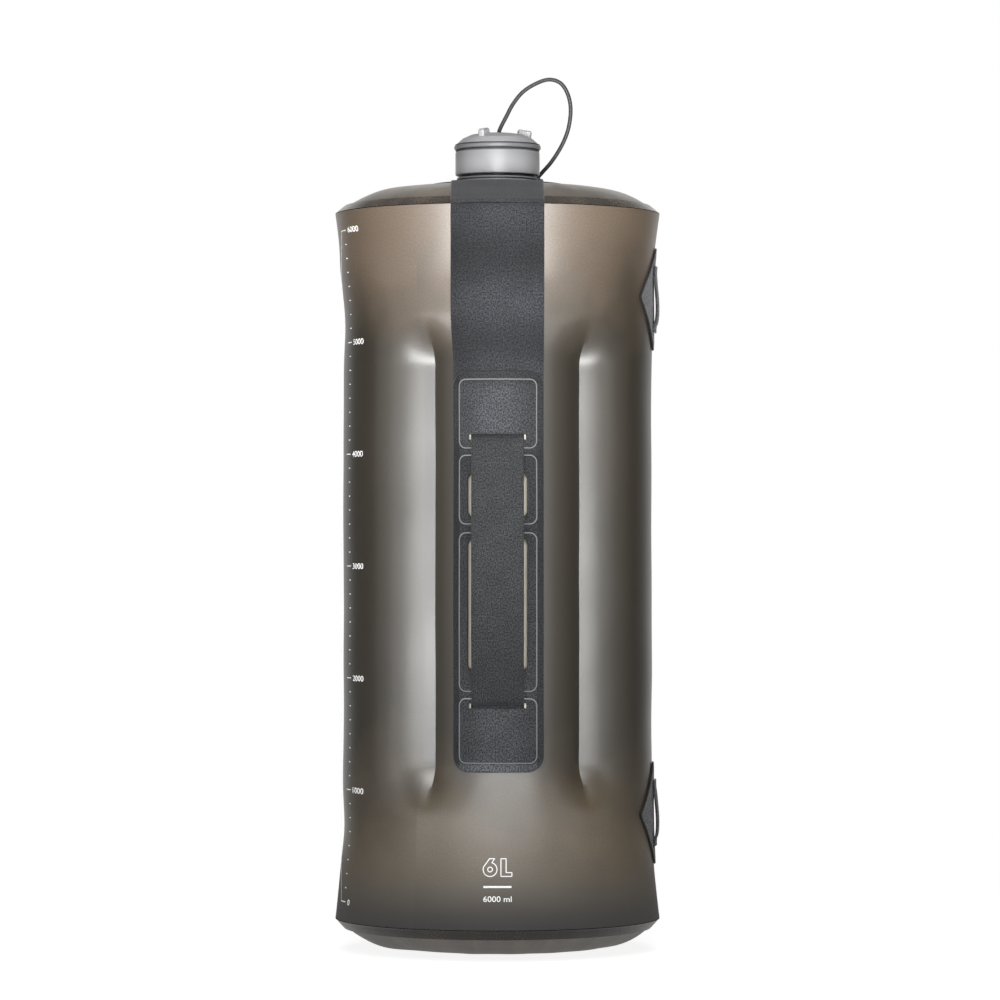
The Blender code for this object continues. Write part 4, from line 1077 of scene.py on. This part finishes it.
def strap_waves(points):
    """Slight ripples across the strap between the rim and the handle plate."""
    v = points[:, 1]
    free = np.clip((v - FREE_SPAN[0]) / (10 * MM), 0, 1) * np.clip((FREE_SPAN[1] - v) / (15 * MM), 0, 1)
    ripple = np.sin(v / (4.3 * MM) + 1.2 * np.sin(points[:, 0] / (14 * MM)))
    swell = np.sin((v - BAND_PHASE) / BAND_PITCH * math.tau)
    return free * (RIPPLE * ripple + SWELL * (1 + swell))


def make_strap():
    half = STRAP_WIDTH / 2
    top = TOP_RIM_Z - GAP - PLATE_Z
    low = GAP - PLATE_HEIGHT / 2
    corner = PLATE_CORNER
    loop = [(half, top), (-half, top)]
    loop += arc((corner - half, low + corner), corner, math.pi, math.pi * 3 / 2, 8)
    loop += arc((half - corner, low + corner), corner, math.pi * 3 / 2, math.tau, 8)
    place = on_wall(0, PLATE_Z, GAP)
    windows = window_loops(GAP)
    return cut_sheet("strap_front", loop, WEBBING, place, strap_webbing, windows, relief=strap_waves)


follow_bag(make_strap(), "webbing", "carry_strap")
print("strap")

# %% [markdown]
# The handle plate is a moulded skin bonded to the strap. Four panels are outlined by fine pressed lines,
# two windows show the film, and two slots hold the hand strap. The lines are both relief and colour.

# %% Handle plate
PLATE_LIFT = GAP + WEBBING + GAP
PLATE_THICKNESS = 1.0 * MM
PANEL_WIDTH = 38.1 * MM
PANEL_SPANS = [
    (59.6 * MM, 92.8 * MM), (22.9 * MM, 56.1 * MM), (-57.9 * MM, 18.6 * MM), (-92.6 * MM, -61.5 * MM),
]
PANEL_CORNER = 3.4 * MM
PANEL_RISE = 0.35 * MM
PLATE_SPAN = (-PLATE_HEIGHT / 2, PLATE_HEIGHT / 2)
SLOT_NEAR = 63.4 * MM
SLOT_FAR = 66.4 * MM
SLOT_SPANS = [(SLOT_NEAR, SLOT_FAR), (-SLOT_FAR, -SLOT_NEAR)]
SLOT_WIDTH = 28 * MM


def rounded_distance(points, width, span, corner):
    """Signed distance to a rounded rectangle, negative inside."""
    middle = (span[0] + span[1]) / 2
    reach = np.array([width / 2 - corner, (span[1] - span[0]) / 2 - corner])
    away = np.abs(points - np.array([0.0, middle])) - reach
    outside = np.linalg.norm(np.maximum(away, 0), axis=1)
    return outside + np.minimum(np.max(away, axis=1), 0) - corner


def ridge(distance, middle, width):
    """Soft line at a distance from an edge; sizes in mm."""
    return np.exp(-((distance - middle * MM) / (width * MM)) ** 2)


def plate_relief(points):
    """Pressed line round each panel, a faint crown inside it and a bead round the plate."""
    height = np.zeros(len(points))
    for span in PANEL_SPANS:
        distance = rounded_distance(points, PANEL_WIDTH, span, PANEL_CORNER)
        height += PANEL_RISE * np.clip(0.5 - distance / (0.5 * MM), 0, 1)
        height += 0.22 * MM * ridge(distance, -0.35, 0.4) - 0.25 * MM * ridge(distance, 0.7, 0.45)
    edge = rounded_distance(points, STRAP_WIDTH, PLATE_SPAN, PLATE_CORNER)
    return height + 0.2 * MM * ridge(edge, -0.9, 0.5)


def paint(item, **masks):
    """Store each mask, a function of the place on the flat cut, as a value on the piece's points."""
    mesh = item.data
    spots = np.zeros((len(mesh.vertices), 2))
    flat = mesh.uv_layers["flat"].data
    for loop in mesh.loops:
        spots[loop.vertex_index] = flat[loop.index].uv
    for name, mask in masks.items():
        values = mesh.attributes.new(name, "FLOAT", "POINT").data
        values.foreach_set("value", mask(spots).astype(np.float32))


def panel_lines(points):
    lines = [rounded_distance(points, PANEL_WIDTH, span, PANEL_CORNER) for span in PANEL_SPANS]
    return np.clip(1 - np.min(np.abs(lines), axis=0) / (0.35 * MM), 0, 1) * 0.8


def plate_rim(points):
    edge = rounded_distance(points, STRAP_WIDTH, PLATE_SPAN, PLATE_CORNER)
    return np.clip(1 + edge / (0.5 * MM), 0, 1)


def make_plate():
    def grown_loop(width, span, corner, grow):
        grow *= MM
        return rounded_loop(width + 2 * grow, (span[0] - grow, span[1] + grow), corner + grow)

    contours = [grown_loop(PANEL_WIDTH, span, PANEL_CORNER, grow)
                for span in PANEL_SPANS for grow in (-0.9, -0.35, 0.0, 0.35, 0.7, 1.1)]
    contours += [grown_loop(STRAP_WIDTH, PLATE_SPAN, PLATE_CORNER, -inset) for inset in (0.5, 0.9, 1.5)]
    outline = rounded_loop(STRAP_WIDTH, PLATE_SPAN, PLATE_CORNER)
    holes = window_loops(0) + [rounded_loop(SLOT_WIDTH, slot, 1.0 * MM, 4) for slot in SLOT_SPANS]
    place = on_wall(0, PLATE_Z, PLATE_LIFT)
    return cut_sheet("handle_skin", outline, PLATE_THICKNESS, place, handle_skin, holes, contours,
                     plate_relief, 1.6 * MM)


plate = make_plate()
paint(plate, press=panel_lines, rim=plate_rim)
follow_bag(plate, "handle", "handle_plate")
print("handle plate")

# %% [markdown]
# In each window the bag's film swells out a little. Its paler colour is painted light, the film there
# catching the light.

# %% Film in the windows
PANE = 0.3 * MM
PANE_SWELL = 1.2 * MM
PANE_RUN = 2.5 * MM


def window_swell(points):
    """Film swells out between the edges of a window."""
    depth = np.full(len(points), -1.0)
    for low, high in WINDOW_SPANS:
        distance = rounded_distance(points, WINDOW_WIDTH - 2 * GAP, (low + GAP, high - GAP), WINDOW_CORNER)
        depth = np.maximum(depth, -distance)
    return PANE_SWELL * np.sqrt(np.clip(depth / PANE_RUN, 0, 1))


for number, loop in enumerate(window_loops(-GAP)):
    pane = cut_sheet(f"lit_window_film_{number}", loop, PANE, on_wall(0, PLATE_Z, GAP), lit_window_film,
                     relief=window_swell, spacing=1.2 * MM)
    follow_bag(pane, "smoke_film")
print("windows", len(WINDOW_SPANS))

# %% [markdown]
# The hand strap comes up through one slot, bends over the slot's edge, bows out far enough for fingers and
# goes down through the other. Its route is drawn from the side, and the flat strap follows it.

# %% Hand strap
HAND_THICKNESS = 1.0 * MM
HAND_HALF_WIDTH = 12.8 * MM
HAND_RISE = 7.5 * MM
HAND_STEPS = 48


def hand_strap_route():
    half = HAND_THICKNESS / 2
    fold = 0.95 * MM
    low_face = PLATE_LIFT + PLATE_THICKNESS + PANEL_RISE + GAP + half
    high = SLOT_NEAR + GAP + half
    low = -high
    route = [(low, PLATE_LIFT), (low, low_face - fold)]
    bend = arc((0, 0), fold, math.pi / 8, math.pi / 2, 4)
    route += [(low + fold - c, low_face - fold + s) for c, s in bend]
    first = len(route)
    for step in range(1, HAND_STEPS):
        share = step / HAND_STEPS
        v = low + fold + (high - low - 2 * fold) * share
        route.append((v, low_face + HAND_RISE * math.sin(math.pi * share)))
    return [Vector(p) for p in route + [(low + high - v, w) for v, w in route[:first][::-1]]]


def make_hand_strap():
    length, at = route_reader(hand_strap_route())
    on_plate = on_wall(0, PLATE_Z, 0)

    def place(u, v, w):
        point, normal = at(v)
        spot = point + normal * (w - HAND_THICKNESS / 2)
        return on_plate(u, spot.x, spot.y)

    loop = box_loop(HAND_HALF_WIDTH, 0, length)
    return cut_sheet("hand_loop", loop, HAND_THICKNESS, place, hand_webbing, spacing=1.8 * MM)


follow_bag(make_hand_strap(), "hand_webbing", "hand_strap")
print("hand strap")

# %% [markdown]
# Lash points: a square fabric patch on its corner, with a strip bonded at both ends that stands off
# the patch. Two are on the side and one is under the base, where the bag rests on it.

# %% Lash points
LASH_FABRIC = 0.8 * MM
LASH_HALF = 25.5 * MM
LASH_CORNER = 2.5 * MM
FOOT_END = 13 * MM
STRIP_END = 16.5 * MM
SIDE_TURN = math.radians(84)
LASH_RISES = {"upper_lash": 308.4 * MM, "lower_lash": 52.9 * MM}


def lash_place(place, bulge):
    """Strip over a patch: flat at both feet and raised between them."""
    def over(u, v, w):
        share = (v + FOOT_END) / (2 * FOOT_END)
        rise = bulge * math.sin(math.pi * share ** 0.65) ** 0.8 if 0 < share < 1 else 0.0
        return place(u, v, LASH_FABRIC + GAP + rise + w)
    return over


def make_lash(name, place, bulge, width):
    outline = diamond_loop(LASH_HALF, LASH_CORNER)
    inner = [diamond_loop(LASH_HALF - inset, LASH_CORNER - inset / 2) for inset in (0.9 * MM, 1.5 * MM)]
    patch = cut_sheet(f"{name}_pad", outline, LASH_FABRIC, place, lash_fabric, contours=inner)
    paint(patch, rim=lambda points: np.clip(1.4 - loop_distance(outline, points) / (0.6 * MM), 0, 1))
    over = lash_place(place, bulge)
    loop = box_loop(width / 2, -STRIP_END, STRIP_END)
    strip = cut_sheet(f"{name}_strip", loop, LASH_FABRIC, over, webbing, spacing=1.5 * MM)
    return (patch, "lash_fabric", f"{name}_patch"), (strip, "webbing", f"{name}_loop")


def under_base(u, v, w):
    return Vector((u, v, BOTTOM_RIM_Z - DOMES["bottom"][0] - GAP - w))


for name, rise in LASH_RISES.items():
    for item in make_lash(name, on_wall(SIDE_TURN, BOTTOM_RIM_Z + rise, GAP), 1.5 * MM, 16 * MM):
        follow_bag(*item)
for item, slot, node in make_lash("base_lash", under_base, 0.0, 20 * MM):
    stand_for(item, "bag", slot, node)
print("lash points")

# %% [markdown]
# A tape of film closes the wall at the back. Inside, two webs with large holes, so that water can pass, hold
# front and back together along the creases. They are plain sheets, because the film hides them.

# %% Seam tape and baffles
TAPE_HALF = 6 * MM
WEB = 0.8 * MM
WEB_HOLES = 3
WEB_HOLE_WIDTH = 52 * MM
WEB_HOLE_HALF = 21 * MM
WEB_HOLE_CORNER = 14 * MM

tape_loop = box_loop(TAPE_HALF, BOTTOM_RIM_Z + GAP, TOP_RIM_Z - GAP)
seam = cut_sheet("seam_tape", tape_loop, FILM, on_wall(math.pi, 0, GAP), weld_strip)
follow_bag(seam, "weld_film", "rear_seam_tape")


def make_baffle(name, x):
    azimuth = math.asin(x / FOLD_RADIUS)
    half = (FOLD_RADIUS - FILM) * math.cos(azimuth) - GAP
    outline = box_loop(half, BAFFLE_LOW, BAFFLE_HIGH)
    holes = []
    for number in range(WEB_HOLES):
        middle = BAFFLE_LOW + (BAFFLE_HIGH - BAFFLE_LOW) / WEB_HOLES * (number + 0.5)
        span = (middle - WEB_HOLE_HALF, middle + WEB_HOLE_HALF)
        holes.append(rounded_loop(WEB_HOLE_WIDTH, span, WEB_HOLE_CORNER))
    middle_x = math.sin(azimuth) * (FOLD_RADIUS - FILM)

    def place(u, v, w):
        return Vector((middle_x + w - WEB / 2, u, v))
    return cut_sheet(name, outline, WEB, place, dome_film, holes, spacing=5 * MM)


follow_bag(make_baffle("web_left", LEFT_FOLD), "smoke_film", "left_baffle")
follow_bag(make_baffle("web_right", RIGHT_FOLD), "smoke_film", "right_baffle")
print("seam and baffles")

# %% [markdown]
# Printing: white ink on the film. A scale of plain numbers runs up the left side, with short dashes
# between them, and a volume mark sits low on the front. Each shape is cut flat and laid on the film.

# %% Flat printed shapes
INK = 0.03 * MM
SCALE_TURN = math.radians(-68)
SCALE_LOW_Z = 26.5 * MM
SCALE_STEP = 55.3 * MM
SCALE_STEPS = 6
SCALE_PARTS = 8
LINE_SIDES = (-10.6 * MM, -10.3 * MM)
LONG_END = -3.0 * MM
DASH_ENDS = (-5.6 * MM, -3.6 * MM)
NUMBER_SIZE = (12.3 * MM, 2.9 * MM)
ZERO_SHARE = 1 / 4.6
MARK_Z = 36.8 * MM


def join_shapes(shapes):
    """One list of points and one of faces from several shapes."""
    points, faces = [], []
    for spots, loops in shapes:
        faces += [[index + len(points) for index in loop] for loop in loops]
        points += list(spots)
    return points, faces


def bar_shape(left, right, low, high):
    """Rectangle cut in strips about 1 mm wide, so that it can follow the round wall."""
    marks = split_evenly([left, right], 1.0 * MM)
    points = [(u, v) for u in marks for v in (low, high)]
    return points, [[2 * n, 2 * n + 2, 2 * n + 3, 2 * n + 1] for n in range(len(marks) - 1)]


def line_shape(loop, stroke):
    """Closed line of a given stroke along a loop."""
    loop = fine_loop(loop, 0.5 * MM)
    count = len(loop)
    points = offset_loop(loop, -stroke / 2) + offset_loop(loop, stroke / 2)
    return points, [[n, (n + 1) % count, (n + 1) % count + count, n + count] for n in range(count)]


def word_shape(words, left, middle, width, height):
    """Plain words in Blender's own font, fitted to a width and a height."""
    curve = bpy.data.curves.new("words", "FONT")
    curve.body = words
    curve.resolution_u = 4
    curve.offset = 0.01
    item = bpy.data.objects.new("words", curve)
    scene.collection.objects.link(item)
    mesh = bpy.data.meshes.new_from_object(item.evaluated_get(bpy.context.evaluated_depsgraph_get()))
    bpy.data.objects.remove(item)
    bpy.data.curves.remove(curve)
    spots = np.array([vertex.co[:2] for vertex in mesh.vertices])
    faces = [list(polygon.vertices) for polygon in mesh.polygons]
    lows, reach = spots.min(axis=0), np.ptp(spots, axis=0)
    spots = (spots - lows) / reach * np.array([width, height]) + np.array([left, middle - height / 2])
    return [tuple(spot) for spot in spots], faces


def ink_piece(name, shapes, place, thickness=INK, material=glowing_print_ink):
    points, faces = join_shapes(shapes)
    item = bend_sheet(name, np.array(points), faces, np.full(len(points), thickness), place, material)
    follow_bag(item, "smoke_film")


# %% [markdown]
# The scale has a long line with a stroke and a number at each litre, and the mark is an outlined figure and
# letter over a bar and a plain volume.

# %% Printed scale and mark


def scale_shapes():
    width, height = NUMBER_SIZE
    shapes = [bar_shape(*LINE_SIDES, 0, SCALE_STEPS * SCALE_STEP)]
    for step in range(SCALE_STEPS + 1):
        middle = step * SCALE_STEP
        wide = width if step else width * ZERO_SHARE
        shapes.append(word_shape(str(1000 * step), 0.0, middle, wide, height))
        shapes.append(bar_shape(LINE_SIDES[1], LONG_END, middle - 0.22 * MM, middle + 0.22 * MM))
        for part in range(1, SCALE_PARTS if step < SCALE_STEPS else 1):
            dash = middle + SCALE_STEP * part / SCALE_PARTS
            shapes.append(bar_shape(*DASH_ENDS, dash - 0.25 * MM, dash + 0.25 * MM))
    return shapes


def mark_shapes():
    bowl = arc((3.65 * MM, 3.6 * MM), 3.35 * MM, math.radians(76), math.radians(-204), 36)[::-1]
    six = bowl + [(5.9 * MM, 8.8 * MM), (3.4 * MM, 8.8 * MM)]
    eye = arc((3.65 * MM, 3.6 * MM), 1.15 * MM, 0, math.tau * 23 / 24, 23)
    letter = [(0.3, 0.3), (5.6, 0.3), (5.6, 2.1), (2.8, 2.1), (2.8, 8.8), (0.3, 8.8)]
    letter = [(u * MM, v * MM) for u, v in letter]
    shift = -7.2 * MM
    high = 5.8 * MM
    shapes = []
    for loop, move in ((six, shift), (eye, shift), (letter, shift + 8.6 * MM)):
        shapes.append(line_shape([(u + move, v + high) for u, v in loop], 0.5 * MM))
    shapes.append(bar_shape(-6.8 * MM, 6.8 * MM, 0.5 * MM, 1.5 * MM))
    shapes.append(word_shape("6000 ml", -6.9 * MM, -4.8 * MM, 13.8 * MM, 2.8 * MM))
    return shapes


ink_piece("volume_scale", scale_shapes(), on_wall(SCALE_TURN, SCALE_LOW_Z, INK))
ink_piece("volume_mark", mark_shapes(), on_wall(0, MARK_Z, INK))
print("printing")

# %% [markdown]
# Small tabs of pale film fill the slots' ends beside the hand strap: painted highlights, where the film
# behind catches the light.

# %% Film in the slots
EAR_SPAN = (13.0 * MM, 13.9 * MM)
EAR_THICKNESS = 0.3 * MM
# Painted highlights: pale tabs at the slots' ends.
ears = [bar_shape(left, right, low + GAP, high - GAP)
        for low, high in SLOT_SPANS for left, right in ((-EAR_SPAN[1], -EAR_SPAN[0]), EAR_SPAN)]
ink_piece("slot_highlight_film", ears, on_wall(0, PLATE_Z, PLATE_LIFT + 0.1 * MM), EAR_THICKNESS, lit_window_film)
print("slot film", len(ears))

# %% [markdown]
# The neck, the tether's ring and button and the cap's parts keep their CAD shape and take finishes only.

# %% CAD parts that stay
KEPT = {
    "neck": neck_plastic, "tether_neck_ring": tether_rubber, "tether_button": tether_rubber,
    "cap_body": cap_pale, "cap_band": cap_bright, "cap_dome": cap_grey, "cap_gasket": gasket_white,
}
for name, material in KEPT.items():
    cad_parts[name].data.materials.clear()
    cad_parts[name].data.materials.append(material)
print("kept parts", len(KEPT))

# %% [markdown]
# Black rings in the grooves between the cap's skirt, band and dome are painted shade, and two pale lines
# round the tether ring are painted highlights, glints on its edges.

# %% Rings on the cap and neck
RING_STEPS = 120
GLINT_SPAN = (48, 374)


def ring_piece(name, body, slot, inner, outer, low, high, material, span=(0, 360)):
    """Ring with soft outer corners, whole or between two angles in degrees; sizes in mm."""
    bevel = min(outer - inner, high - low) / 4
    profile = [(inner, low), (outer - bevel, low), (outer, low + bevel)]
    profile += [(outer, high - bevel), (outer - bevel, high), (inner, high)]
    whole = span[1] - span[0] == 360
    build = bmesh.new()
    rings = []
    for step in range(RING_STEPS if whole else RING_STEPS + 1):
        turn = math.radians(span[0] + (span[1] - span[0]) * step / RING_STEPS)
        spots = [(r * MM * math.cos(turn), r * MM * math.sin(turn), z * MM) for r, z in profile]
        rings.append([build.verts.new(spot) for spot in spots])
    faces = list(join_rings(build, rings, closed=whole))
    if not whole:
        build.faces.new(rings[0])
        build.faces.new(rings[-1])
    stand_for(mesh_object(name, build, material, 30), body, slot)
    print(name, len(faces))


# Painted shade: black rings where the cap's grooves lie in shadow.
ring_piece("cap_groove_shade_low", "cap", "tether_rubber", 20.25, 20.98, 399.45, 400.15, tether_rubber)
ring_piece("cap_groove_shade_high", "cap", "tether_rubber", 20.85, 21.2, 402.3, 402.8, tether_rubber)
# Painted highlights: pale lines for glints on the tether ring's edges.
ring_piece("neck_glint_high", "crown", "cap_grey", 20.05, 20.3, 385.4, 386.0, cap_grey, GLINT_SPAN)
ring_piece("neck_glint_low", "crown", "cap_grey", 20.05, 20.3, 384.1, 384.6, cap_grey, GLINT_SPAN)
